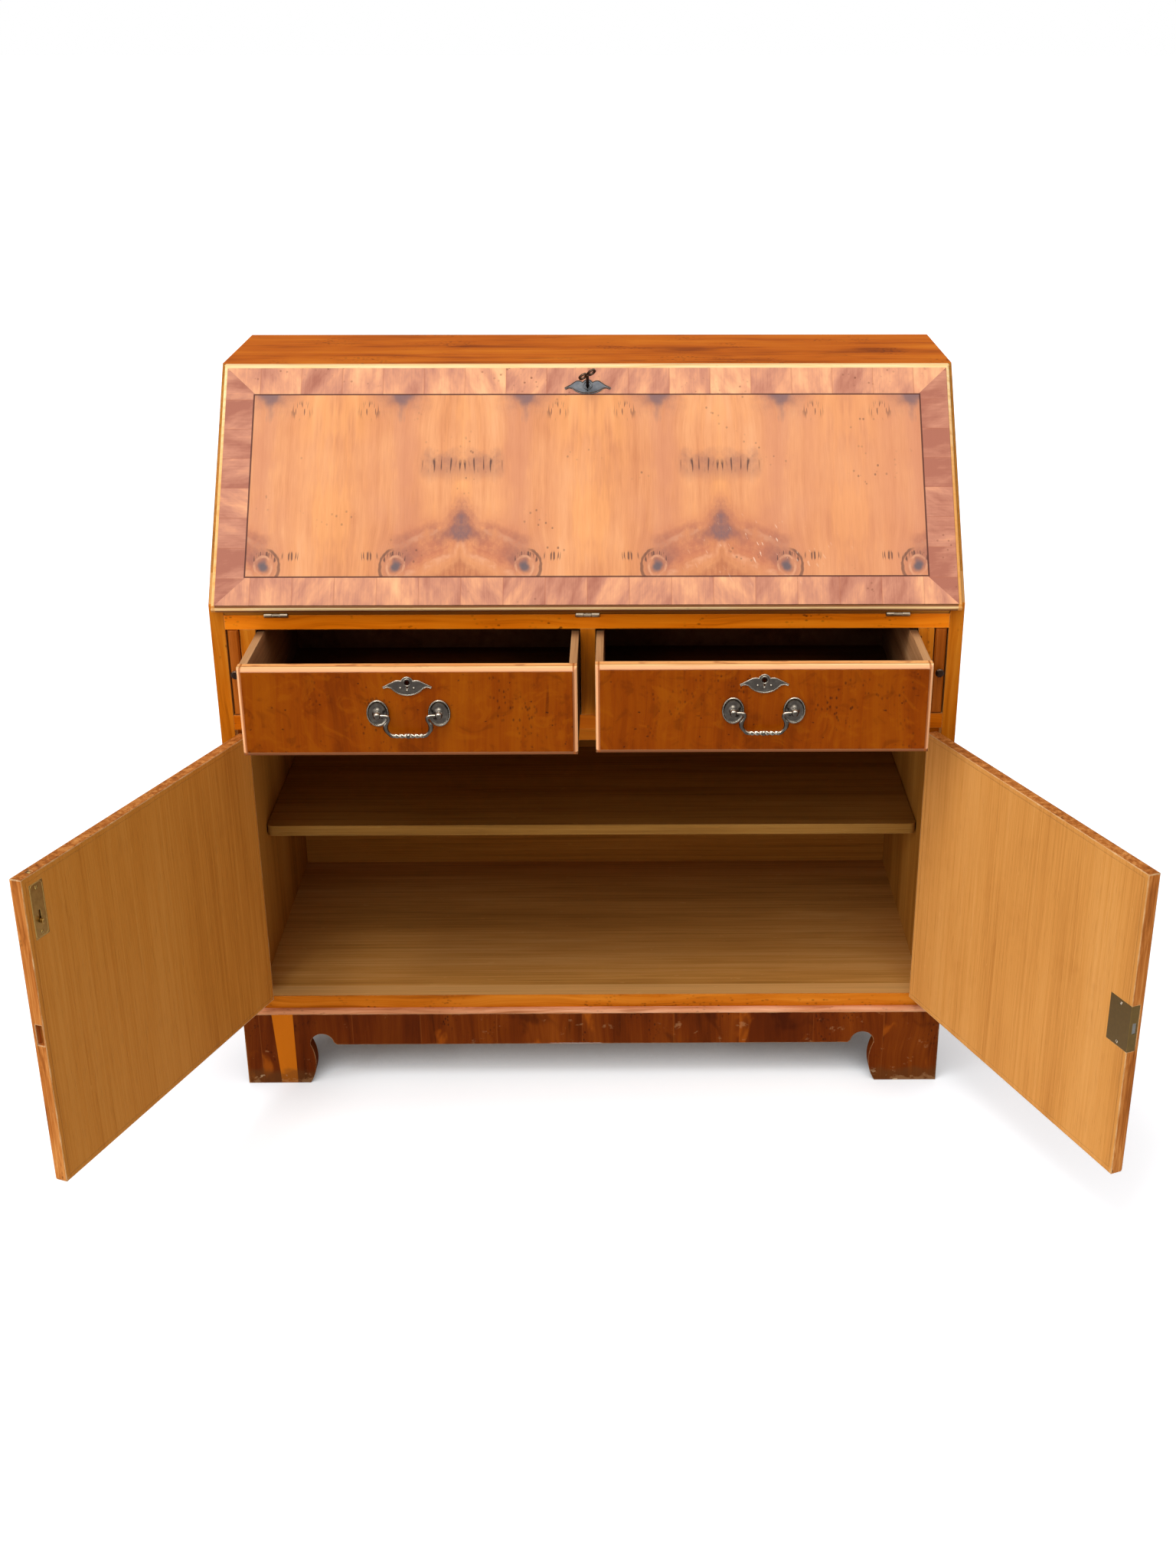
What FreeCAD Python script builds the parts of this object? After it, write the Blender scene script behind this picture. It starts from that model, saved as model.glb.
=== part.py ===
import FreeCAD, Part
import math
import os

# A fall-front writing bureau veneered in yew, in the state it is usually shown: the fall shut with its key
# in the lock, both drawers part drawn and both cupboard doors standing open.
# Millimetres, +Z up, +X to the right as seen from the front. The origin is on the floor below the middle
# of the carcass front, so the front plane is y = 0 and the carcass runs back along +Y.

Vector = FreeCAD.Vector

# Carcass boards
carcass_width = 1000.0
carcass_depth = 452.0
overall_height = 1006.0
side_thickness = 19.0
top_thickness = 18.0
back_thickness = 5.0
back_lap = 9.0  # width of the rebate that the back panel lies in
housing_depth = 6.0  # how far a housed board runs into the sides
housing_stop = 15.0  # a housing stops this far behind the front plane

# Writing level, drawer level and floor of the cupboard
writing_height = 720.0
writing_thickness = 20.0
drawer_opening_height = 122.0
rail_thickness = 21.0
rail_depth = 60.0
partition_thickness = 21.0
divider_thickness = 20.0
loper_slot = 19.0
runner_height = 18.0
runner_shelf = 20.0  # width of runner under each edge of a drawer
bottom_thickness = 26.0

# Plinth with bracket feet
plinth_height = 116.0
plinth_overhang_front = 9.0
plinth_overhang_side = 8.0
plinth_thickness = 20.0
plinth_edge_height = 65.0  # straight lower edge between the feet
foot_width = 91.0
foot_swell = 10.5  # bulge of the foot's inner edge
arch_width = 34.0
arch_rise = 18.0
cusp = 4.0
moulding_height = 6.0
moulding_radius = 4.5

# Cupboard doors
door_thickness = 19.0
door_gap = 1.5  # between a door and the side it hangs on
door_end_gap = 2.0  # above and below a door
meeting_gap = 2.0
door_lip = 7.0
door_lip_radius = 5.0
door_open_left = 111.8  # degrees from shut, as photographed
door_open_right = 113.0  # degrees
stop_height = 24.0
stop_depth = 22.0
stop_gap = 0.5

# Shelf on four pegs
shelf_top = 349.0
shelf_thickness = 16.0
shelf_setback = 141.0
shelf_end_gap = 1.0
shelf_corner = 9.0
peg_radius = 3.0
peg_reach = 11.0
peg_seat = 9.0
peg_inset = 24.0  # from the shelf's front and back edges
peg_fit = 0.05

# Fall, built in its own frame: x across, y up the slope from the hinge axis, z out of the face
slope_angle = 50.0  # degrees above the horizontal
fall_thickness = 20.0
fall_lap = 11.0  # thickness of the outer part that laps over the sides and the top
fall_reveal = 5.0  # strip of each side left showing beside the fall
fall_gap = 0.3
fall_side_gap = 1.5
fall_edge_gap = 0.5
fall_end_gap = 1.0  # from the fall's inner part to the top board
fall_lip = 5.0
fall_lip_drop = 1.5  # the lip lies this far below the veneered field
fall_lip_radius = 4.0
flush_gap = 0.5  # the fall's top edge stops this far below the top board's surface
leather_thickness = 1.0
leather_low = 52.0
leather_lock_gap = 17.0  # between the leather and the lock
leather_margin = 46.0

# Fall lock and key
lock_width = 60.0
lock_height = 42.0
lock_depth = 8.0
lock_wall = 1.6
key_drop = 16.2  # key axis below the top of the lock
fall_bolt_width = 24.0
fall_bolt_length = 11.0
fall_bolt_throw = 10.0
running_gap = 0.3
key_radius = 2.2
key_fit = 0.06
key_reach = 31.0  # from the fall's face to the middle of the bow
key_turn = 29.0  # bow's tilt in the lock, degrees
bow_radius = 6.4
bow_hole = 3.7
bow_spread = 6.6
bow_thickness = 2.4
bow_sides = 20  # facets round a lobe of the bow
bit_length = 7.4
bit_height = 4.0
bit_thickness = 1.8
mortise_gap = 1.0

# Butt hinges
knuckle_radius = 3.5
hinge_pin_radius = 1.5
hinge_pin_fit = 0.05
leaf_thickness = 1.5
leaf_width = 21.0
desk_hinge_length = 31.0
desk_hinge_inset = 67.5  # from the fall's inner edge to the middle of an outer hinge
door_hinge_length = 52.0
door_hinge_inset = 75.0  # from a door's end to the middle of the hinge
knuckle_gap = 0.3

# Drawers
drawer_gap = 1.5
drawer_front_thickness = 19.0
drawer_lip = 5.5
drawer_lip_drop = 1.5
drawer_lip_radius = 4.5
drawer_depth = 400.0
drawer_wall = 10.0
drawer_back_drop = 6.0
drawer_bottom_thickness = 4.0
drawer_groove_depth = 4.0
drawer_groove_height = 9.0
drawer_side_drop = 2.0
drawer_pull_left = 150.0
drawer_pull_right = 144.0

# Drawer furniture
handle_centres = 78.0
rosette_width = 28.5
rosette_height = 36.0
rosette_dome = 5.2
rosette_crown = 0.35  # share of the rosette's width that is left at the top of the dome
post_radius = 3.0
turned_sides = 12  # facets round a small turned piece
ball_radius = 4.8
pivot_reach = 11.5  # bail axis in front of the drawer face
bail_radius = 2.4
bail_sides = 8  # facets round the bail's bar
bend_step = 18.0  # degrees turned by each facet of its bends
bail_pin_radius = 1.75
bail_pin_fit = 0.05
bail_drop = 27.0
bail_bar_half = 22.0
bail_neck = 26.0
bail_swell = 29.5
bail_swell_drop = 12.0
bail_corner_radii = (3.2, 8.0, 5.0)
collar_radius = 3.6
collar_width = 3.4
escutcheon_rise = 41.0  # keyhole above the handle
escutcheon_thickness = 1.3
keyhole_radius = 2.7
keyhole_slot = 2.2
keyhole_length = 8.0
blind_keyhole = 8.0  # depth of the sham keyholes in the drawer fronts

# Lopers
loper_gap = 2.0  # beside a loper, in its slot
loper_length = 400.0
loper_chamfer = 2.5
knob_radius = 6.0
knob_stem_radius = 2.6
knob_length = 11.0
knob_head = 5.5
knob_seat = 9.0

# Left door's bolt
bolt_plate_width = 24.0
bolt_plate_height = 70.0
bolt_plate_thickness = 2.0
bolt_plate_edge = 11.0  # from the door's free edge
bolt_plate_drop = 12.0  # from the door's top
door_bolt_width = 6.0
door_bolt_throw = 12.0
bolt_knob_rise = 21.0  # above the plate's lower end
bolt_knob_reach = 5.0
bolt_end_gap = 1.0  # the drawn bolt ends this far below the door's top
bolt_knob_radius = 3.2
bolt_stem_width = 3.0
bolt_cover = 7.0  # bolt's middle below the door's inner face

# Right door's lock
door_lock_width = 40.0
door_lock_height = 63.0
door_lock_depth = 12.0
door_lock_bolt_height = 14.0
door_lock_bolt_thickness = 5.0
door_lock_bolt_length = 18.0
door_lock_throw = 8.0
door_lock_level = 350.0
door_key_inset = 25.0
door_plate_scale = 0.64  # the door's keyhole plate beside a drawer's

# Stationery fittings behind the fall
fitting_clearance = 41.5  # behind the front edge of the top board's underside
fitting_board = 8.0
stationery_height = 68.0
stationery_width = 241.0
stationery_front = 12.0
stationery_wall = 7.0
stationery_bottom = 5.0
stationery_gap = 0.8
stationery_seat = 0.3
stationery_knob_radius = 6.5
stationery_knob_reach = 13.0
pigeonholes = 6

# Places that follow from the sizes above
half = carcass_width / 2
inner_half = half - side_thickness
back_face = carcass_depth - back_thickness
top_under = overall_height - top_thickness
opening_top = writing_height - writing_thickness
rail_top = opening_top - drawer_opening_height
rail_under = rail_top - rail_thickness
floor_top = plinth_height + bottom_thickness
slot_half = inner_half - loper_slot
opening_half = slot_half - partition_thickness
beta = math.radians(slope_angle)
tongue = fall_thickness - fall_lap
seat_level = tongue - fall_gap
lock_top = (top_under - writing_height - tongue * math.cos(beta)) / math.sin(beta) - fall_end_gap
key_level = lock_top - key_drop
door_low = floor_top + door_end_gap
door_high = rail_under - door_end_gap
hinge_x = inner_half - door_gap / 2
hinge_y = -(knuckle_radius + knuckle_gap)
tongue_half = inner_half - fall_side_gap
desk_hinge_places = (-tongue_half + desk_hinge_inset, 0.0, tongue_half - desk_hinge_inset)
nodes = {}


def both(reach):
    return (-reach, reach)


def box(x, y, z):
    """A box from three (low, high) pairs."""
    return Part.makeBox(x[1] - x[0], y[1] - y[0], z[1] - z[0], Vector(x[0], y[0], z[0]))


def placed(axis, u, v, w):
    """The point with coordinates u and v across an axis and w along it."""
    return {"x": Vector(w, u, v), "y": Vector(u, w, v), "z": Vector(u, v, w)}[axis]


def prism(outline, axis, span):
    """A straight-sided outline carried along one axis."""
    points = [placed(axis, u, v, span[0]) for u, v in outline]
    face = Part.Face(Part.makePolygon(points + points[:1]))
    return face.extrude(placed(axis, 0, 0, span[1] - span[0]))


def rod(radius, start, end):
    way = end - start
    return Part.makeCylinder(radius, way.Length, start, way)


def moved(shape, x=0.0, y=0.0, z=0.0):
    copy = shape.copy()
    copy.translate(Vector(x, y, z))
    return copy


def turned(shape, axis, degrees, about=Vector(0, 0, 0)):
    copy = shape.copy()
    copy.rotate(about, axis, degrees)
    return copy


def mirrored(shape):
    return shape.mirror(Vector(0, 0, 0), Vector(1, 0, 0))


def group(shapes):
    return Part.makeCompound(list(shapes))


def nearest_edges(shape, middles):
    """The edges whose middles lie nearest to the points given."""
    return [min(shape.Edges, key=lambda e: e.CenterOfMass.distanceToPoint(m)) for m in middles]


def rounded(shape, radius, middles):
    return shape.makeFillet(radius, nearest_edges(shape, middles))


def stood_up(shape):
    """Takes a piece drawn face up in the XY plane to the front, facing -Y."""
    return turned(shape, Vector(1, 0, 0), 90)


def on_slope(shape):
    """Takes a piece from the fall's own frame to its place on the shut bureau."""
    return moved(turned(shape, Vector(1, 0, 0), slope_angle), z=writing_height)


def seat_y(z):
    """Depth at which the sloping edges of the carcass reach a height."""
    up = (z - writing_height - seat_level * math.cos(beta)) / math.sin(beta)
    return up * math.cos(beta) - seat_level * math.sin(beta)


def mitred_strips(low, high, width, span, radius):
    """Strips round a rectangle in the XY plane, mitred at the corners and rounded on the outer face edge."""
    (x0, y0), (x1, y1) = low, high
    inner = ((x0 + width, y0 + width), (x1 - width, y0 + width),
             (x1 - width, y1 - width), (x0 + width, y1 - width))
    outer = ((x0, y0), (x1, y0), (x1, y1), (x0, y1))
    strips = []
    for i in range(4):
        j = (i + 1) % 4
        a, b = outer[i], outer[j]
        strip = prism((a, b, inner[j], inner[i]), "z", span)
        middle = Vector((a[0] + b[0]) / 2, (a[1] + b[1]) / 2, span[1])
        strips.append(rounded(strip, radius, [middle]))
    return strips


def hinge_leaf(length, span, own):
    """A leaf of a three-knuckle butt hinge: axis along X from 0, leaf along +Y with its thickness on span."""
    step = length / 3
    leaf = box((0, length), (0, leaf_width), span)
    for i in range(3):
        low, high = i * step, (i + 1) * step
        if i in own:
            low += knuckle_gap / 2 if i else 0
            high -= knuckle_gap / 2 if i < 2 else 0
            leaf = leaf.fuse(along_x(knuckle_radius, low, high))
        else:
            clear = rod(knuckle_radius + knuckle_gap, Vector(low - knuckle_gap / 2, 0, 0),
                        Vector(high + knuckle_gap / 2, 0, 0))
            leaf = leaf.cut(clear)
    return leaf


def fixed_leaf(length, span):
    bore = along_x(bore_radius(hinge_pin_radius, hinge_pin_fit), 0, length)
    return hinge_leaf(length, span, (0, 2)).cut(bore)


def moving_leaf(length, span):
    return hinge_leaf(length, span, (1,)).fuse(along_x(hinge_pin_radius, 0, length))


def bent_line(points, radii):
    """Points along straight runs that are joined by tangent arcs, each arc in steps of about bend_step."""
    line = [points[0]]
    for before, corner, after, radius in zip(points, points[1:], points[2:], radii):
        come = (corner - before).normalize()
        go = (after - corner).normalize()
        turn = come.getAngle(go)
        first = corner - come * (radius * math.tan(turn / 2))
        inward = come.cross(go).normalize().cross(come)
        steps = math.ceil(math.degrees(turn) / bend_step)
        for i in range(steps + 1):
            angle = turn * i / steps
            along, aside = radius * math.sin(angle), radius * (1 - math.cos(angle))
            line.append(first + come * along + inward * aside)
    return line + [points[-1]]


def bent_bar(line, radius, sides):
    """A faceted bar along points in the XZ plane, mitred where they turn."""
    across = Vector(0, 1, 0)
    ways = [(b - a).normalize() for a, b in zip(line, line[1:])]
    normals = [across.cross(way) for way in ways]
    rings = []
    for point, n1, n2 in zip(line, normals[:1] + normals, normals + normals[-1:]):
        mitre = (n1 + n2) * (1 / (1 + n1.dot(n2)))
        rings.append([point + across * p.x + mitre * p.y for p in ring_of_points(radius, sides, 0)])
    return faceted(rings)


def ring_of_points(radius, sides, level):
    """Corners of a regular outline about the Z axis."""
    turns = [2 * math.pi * (i + 0.5) / sides for i in range(sides)]
    return [Vector(radius * math.cos(t), radius * math.sin(t), level) for t in turns]


def flat(points):
    return Part.Face(Part.makePolygon(points + points[:1]))


def faceted(rings):
    """A closed solid with flat facets between rings of points."""
    faces = [flat(rings[0]), flat(rings[-1])]
    for low, high in zip(rings, rings[1:]):
        for i in range(len(low)):
            j = (i + 1) % len(low)
            faces.append(flat([low[i], low[j], high[j], high[i]]))
    shell = Part.makeShell(faces)
    shell.sewShape()
    return Part.makeSolid(shell)


def turned_piece(profile):
    """A small turned solid about the Z axis, from (radius, height) pairs."""
    return faceted([ring_of_points(radius, turned_sides, level) for radius, level in profile])


def along_x(radius, low, high):
    """A plain turned piece on the X axis."""
    return turned(turned_piece(((radius, low), (radius, high))), Vector(0, 1, 0), 90)


def bore_radius(pin_radius, fit):
    """Radius of a bore whose flats clear a pin's corners by the fit."""
    return pin_radius / math.cos(math.pi / turned_sides) + fit


# Outlines of the pierced plates, right half: runs from the top of the keyhole ring round the drooping wing to
# the lowest point. A run of three points is an arc through the middle one, about the keyhole. The fall's
# plate has its wings level with the ring; the drawers' and the door's plates hang lower and deeper.
fall_wing = (
    ((0.0, 9.4), (4.2, 8.2), (6.8, 5.2)),
    ((6.8, 5.2), (11.2, 7.4), (16.2, 7.0)),
    ((16.2, 7.0), (23.8, 1.2)),
    ((23.8, 1.2), (31.8, -3.4)),
    ((31.8, -3.4), (30.2, -6.0)),
    ((30.2, -6.0), (25.6, -3.8)),
    ((25.6, -3.8), (21.0, -4.8)),
    ((21.0, -4.8), (12.2, -10.6), (0.0, -12.2)),
)
drawer_wing = (
    ((0.0, 7.8), (4.9, 6.1), (7.4, 2.6)),
    ((7.4, 2.6), (11.6, 3.2), (16.2, 2.2)),
    ((16.2, 2.2), (23.6, -1.6)),
    ((23.6, -1.6), (31.2, -5.6)),
    ((31.2, -5.6), (29.8, -8.2)),
    ((29.8, -8.2), (25.4, -6.6)),
    ((25.4, -6.6), (20.8, -7.6)),
    ((20.8, -7.6), (12.4, -14.4), (0.0, -17.6)),
)


def escutcheon(wing, scale=1.0):
    """A bat-wing keyhole plate, face up in the XY plane, with the keyhole at the origin."""
    edges = []
    for side in (1, -1):
        for run in wing:
            points = [Vector(side * x * scale, y * scale, 0) for x, y in run]
            curve = Part.Arc(*points) if len(points) == 3 else Part.LineSegment(*points)
            edges.append(curve.toShape())
    outline = Part.Wire(Part.__sortEdges__(edges))
    plate = Part.Face(outline).extrude(Vector(0, 0, escutcheon_thickness))
    hole = turned_piece(((keyhole_radius, 0), (keyhole_radius, escutcheon_thickness)))
    slot = box(both(keyhole_slot / 2), (-keyhole_length, 0), (0, escutcheon_thickness))
    return plate.cut([hole, slot])


def rosette():
    """One handle backplate with its post and ball, face up in the XY plane."""
    def oval(share, level):
        ring = ring_of_points(share * rosette_width / 2, 2 * turned_sides, level)
        return [Vector(p.x, p.y * rosette_height / rosette_width, level) for p in ring]

    dome = faceted([oval(1.0, 0), oval(0.95, 0.35 * rosette_dome), oval(0.7, 0.8 * rosette_dome),
                    oval(rosette_crown, rosette_dome)])
    waist = pivot_reach - 0.8 * ball_radius
    half_ball = 0.45 * ball_radius
    tip = pivot_reach + 0.95 * ball_radius
    post = turned_piece(((post_radius, 0), (post_radius, waist), (ball_radius, pivot_reach - half_ball),
                         (ball_radius, pivot_reach + half_ball), (post_radius, tip)))
    bore = along_x(bore_radius(bail_pin_radius, bail_pin_fit), -ball_radius, ball_radius)
    return dome.fuse(post).cut(moved(bore, z=pivot_reach))


def bail():
    """Swan-neck bail hanging from its axis along X at the origin, in the XZ plane."""
    arm = handle_centres / 2 - ball_radius - running_gap
    half_points = [(arm, 0.0), (bail_neck, 0.0), (bail_swell, -bail_swell_drop),
                   (bail_bar_half, -bail_drop)]
    points = [Vector(x, 0, z) for x, z in half_points]
    points += [Vector(-x, 0, z) for x, z in reversed(half_points)]
    bar = bent_bar(bent_line(points, bail_corner_radii + bail_corner_radii[::-1]), bail_radius, bail_sides)
    pin_end = handle_centres / 2
    pins = [along_x(bail_pin_radius, -pin_end, -arm), along_x(bail_pin_radius, arm, pin_end)]
    collar = moved(along_x(collar_radius, -collar_width / 2, collar_width / 2), z=-bail_drop)
    return bar.fuse(pins + [collar])


def turned_knob(radius, stem, reach, head, seat):
    """A turned knob on the Z axis: a peg below 0, a stem and a domed head above it."""
    neck = reach - head
    return turned_piece(((stem, -seat), (stem, neck), (radius, neck + 0.3 * head),
                         (radius, neck + 0.6 * head), (0.8 * radius, neck + 0.85 * head),
                         (0.35 * radius, reach)))


def bracket_board(reach):
    """Outline of a plinth board with a bracket foot at each end, from -reach to reach."""
    def corner(side):
        foot = reach - foot_width
        spring = foot - 0.4 * foot_swell
        far = spring - arch_width
        points = [(foot, 0.0), (foot - foot_swell, 0.55 * plinth_edge_height), (spring, plinth_edge_height),
                  (spring - arch_width / 2, plinth_edge_height + arch_rise),
                  (far, plinth_edge_height + cusp), (far - cusp, plinth_edge_height)]
        return [Vector(side * x, 0, z) for x, z in points]

    edges = []
    for side in (1, -1):
        toe, swell, spring, crown, drop, end = corner(side)
        foot_end, top_end = Vector(side * reach, 0, 0), Vector(side * reach, 0, plinth_height)
        edges.append(Part.LineSegment(foot_end, toe).toShape())
        edges.append(Part.Arc(toe, swell, spring).toShape())
        edges.append(Part.Arc(spring, crown, drop).toShape())
        edges.append(Part.LineSegment(drop, end).toShape())
        edges.append(Part.LineSegment(foot_end, top_end).toShape())
    edges.append(Part.LineSegment(corner(-1)[-1], corner(1)[-1]).toShape())
    top_left, top_right = (Vector(x, 0, plinth_height) for x in both(reach))
    edges.append(Part.LineSegment(top_left, top_right).toShape())
    return Part.Face(Part.Wire(Part.__sortEdges__(edges)))


def housed_board(depth, z):
    """A board between the sides that is let into them behind the front edge."""
    shown = box(both(inner_half), (0, depth), z)
    housed = box(both(inner_half + housing_depth), (housing_stop, depth), z)
    return shown.fuse(housed).removeSplitter()


def door_leaf(maker, span, level):
    """A hinge leaf stood on the left door's axis, its middle at a level."""
    leaf = turned(maker(door_hinge_length, span), Vector(0, 1, 0), -90)
    return moved(leaf, -hinge_x, hinge_y, level - door_hinge_length / 2)


def swung(shape, side):
    """Turns a shut door's piece out to where the door stands; side is -1 for left and 1 for right."""
    angle = -door_open_left if side < 0 else door_open_right
    return turned(shape, Vector(0, 0, 1), angle, Vector(side * hinge_x, hinge_y, 0))


def build_carcass():
    writing_board = housed_board(back_face, (opening_top, writing_height))
    bottom_board = housed_board(back_face, (plinth_height, floor_top))
    rail = housed_board(rail_depth, (rail_under, rail_top))
    back_reach = inner_half + back_lap
    back_panel = box(both(back_reach), (back_face, carcass_depth), (plinth_height, top_under + back_lap))

    hinge_levels = (door_low + door_hinge_inset, door_high - door_hinge_inset)
    offset = door_gap / 2
    door_leaves = [door_leaf(fixed_leaf, (offset, offset + leaf_thickness), z) for z in hinge_levels]
    desk_leaves = []
    for x in desk_hinge_places:
        leaf = fixed_leaf(desk_hinge_length, (-leaf_thickness, 0))
        desk_leaves.append(moved(leaf, x - desk_hinge_length / 2, 0, writing_height))
        writing_board = writing_board.cut([desk_leaves[-1], knuckle_groove(x, writing_height)])

    shelf_back = back_face - shelf_end_gap
    peg_level = shelf_top - shelf_thickness - peg_radius
    pegs = []
    peg_holes = []
    for y in (shelf_setback + peg_inset, shelf_back - peg_inset):
        seat = (-inner_half, y, peg_level)
        pegs.append(moved(along_x(peg_radius, -peg_seat, peg_reach), *seat))
        peg_holes.append(moved(along_x(peg_radius + peg_fit, -peg_seat, peg_reach), *seat))

    outline = ((0, plinth_height), (carcass_depth, plinth_height), (carcass_depth, top_under),
               (seat_y(top_under), top_under), (0, writing_height + seat_level / math.cos(beta)))
    side = prism(outline, "x", (-half, -inner_half))
    side = side.cut([writing_board, bottom_board, rail, back_panel] + door_leaves + peg_holes)
    nodes["side_panel_left"] = side
    nodes["side_panel_right"] = mirrored(side)
    nodes["back_panel"] = back_panel

    top_outline = ((seat_y(top_under), top_under), (carcass_depth, top_under),
                   (carcass_depth, overall_height), (seat_y(overall_height), overall_height))
    mortise = box(both(fall_bolt_width / 2 + mortise_gap),
                  (lock_top, lock_top + fall_bolt_throw + mortise_gap),
                  (lock_wall - mortise_gap, lock_depth - lock_wall + mortise_gap))
    nodes["top_board"] = prism(top_outline, "x", both(half)).cut([back_panel, on_slope(mortise)])

    bolt_x, bolt_y = left_bolt_axis()
    reach = door_bolt_width / 2 + mortise_gap
    bolt_hole = box((bolt_x - reach, bolt_x + reach), (bolt_y - reach, bolt_y + reach),
                    (rail_under, rail_under + door_bolt_throw))
    nodes["drawer_rail"] = rail.cut(bolt_hole)
    nodes["writing_board"] = writing_board
    nodes["bottom_board"] = bottom_board
    nodes["carcass_hinge_leaves"] = group(desk_leaves + door_leaves + [mirrored(x) for x in door_leaves])

    level = (rail_top, opening_top)
    partition = box((-slot_half, -opening_half), (0, back_face), level)
    divider = box(both(divider_thickness / 2), (0, back_face), level)
    nodes["drawer_partitions"] = group([partition, divider, mirrored(partition)])
    runner_level = (rail_top - runner_height, rail_top)
    runner = box((-inner_half, -opening_half + runner_shelf), (rail_depth, back_face), runner_level)
    middle = box(both(divider_thickness / 2 + runner_shelf), (rail_depth, back_face), runner_level)
    nodes["drawer_runners"] = group([runner, middle, mirrored(runner)])
    stop_front = door_thickness + stop_gap
    nodes["door_stop_batten"] = box(both(inner_half), (stop_front, stop_front + stop_depth),
                                    (rail_under - stop_height, rail_under))

    shelf_half = inner_half - shelf_end_gap
    shelf = box(both(shelf_half), (shelf_setback, shelf_back), (shelf_top - shelf_thickness, shelf_top))
    middle_level = shelf_top - shelf_thickness / 2
    corners = [Vector(x, shelf_setback, middle_level) for x in both(shelf_half)]
    nodes["shelf"] = rounded(shelf, shelf_corner, corners)
    nodes["shelf_pegs"] = group(pegs + [mirrored(x) for x in pegs])


def knuckle_groove(x, level):
    """Room round a desk hinge's knuckles, cut in the boards beside them."""
    reach = desk_hinge_length / 2 + 2 * knuckle_gap
    return rod(knuckle_radius + 2 * knuckle_gap, Vector(x - reach, 0, level), Vector(x + reach, 0, level))


def build_plinth():
    reach = half + plinth_overhang_side
    front = -plinth_overhang_front
    inside = front + plinth_thickness
    far = carcass_depth + plinth_thickness
    board = moved(bracket_board(reach).extrude(Vector(0, plinth_thickness, 0)), y=front)
    inner = reach - plinth_thickness
    plan = ((-reach, front), (reach, front), (inner, inside), (-inner, inside))
    nodes["plinth_front"] = board.common(prism(plan, "z", (-1, plinth_height + 1)))

    half_length = (carcass_depth - front) / 2
    side = bracket_board(half_length).extrude(Vector(0, plinth_thickness, 0))
    side = moved(turned(side, Vector(0, 0, 1), 90), -inner, front + half_length)
    plan = ((-reach, front), (-inner, inside), (-inner, far), (-reach, far))
    side = side.common(prism(plan, "z", (-1, plinth_height + 1)))
    nodes["plinth_side_left"] = side
    nodes["plinth_side_right"] = mirrored(side)
    nodes["plinth_back"] = box(both(inner), (carcass_depth - plinth_thickness, carcass_depth),
                               (plinth_edge_height, plinth_height))

    level = (plinth_height, plinth_height + moulding_height)
    plan = ((-reach, front), (reach, front), (half, 0), (-half, 0))
    strip = rounded(prism(plan, "z", level), moulding_radius, [Vector(0, front, level[1])])
    plan = ((-reach, front), (-half, 0), (-half, carcass_depth), (-reach, carcass_depth))
    return_middle = Vector(-reach, (front + carcass_depth) / 2, level[1])
    return_strip = rounded(prism(plan, "z", level), moulding_radius, [return_middle])
    nodes["base_moulding"] = group([strip, return_strip, mirrored(return_strip)])


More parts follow.
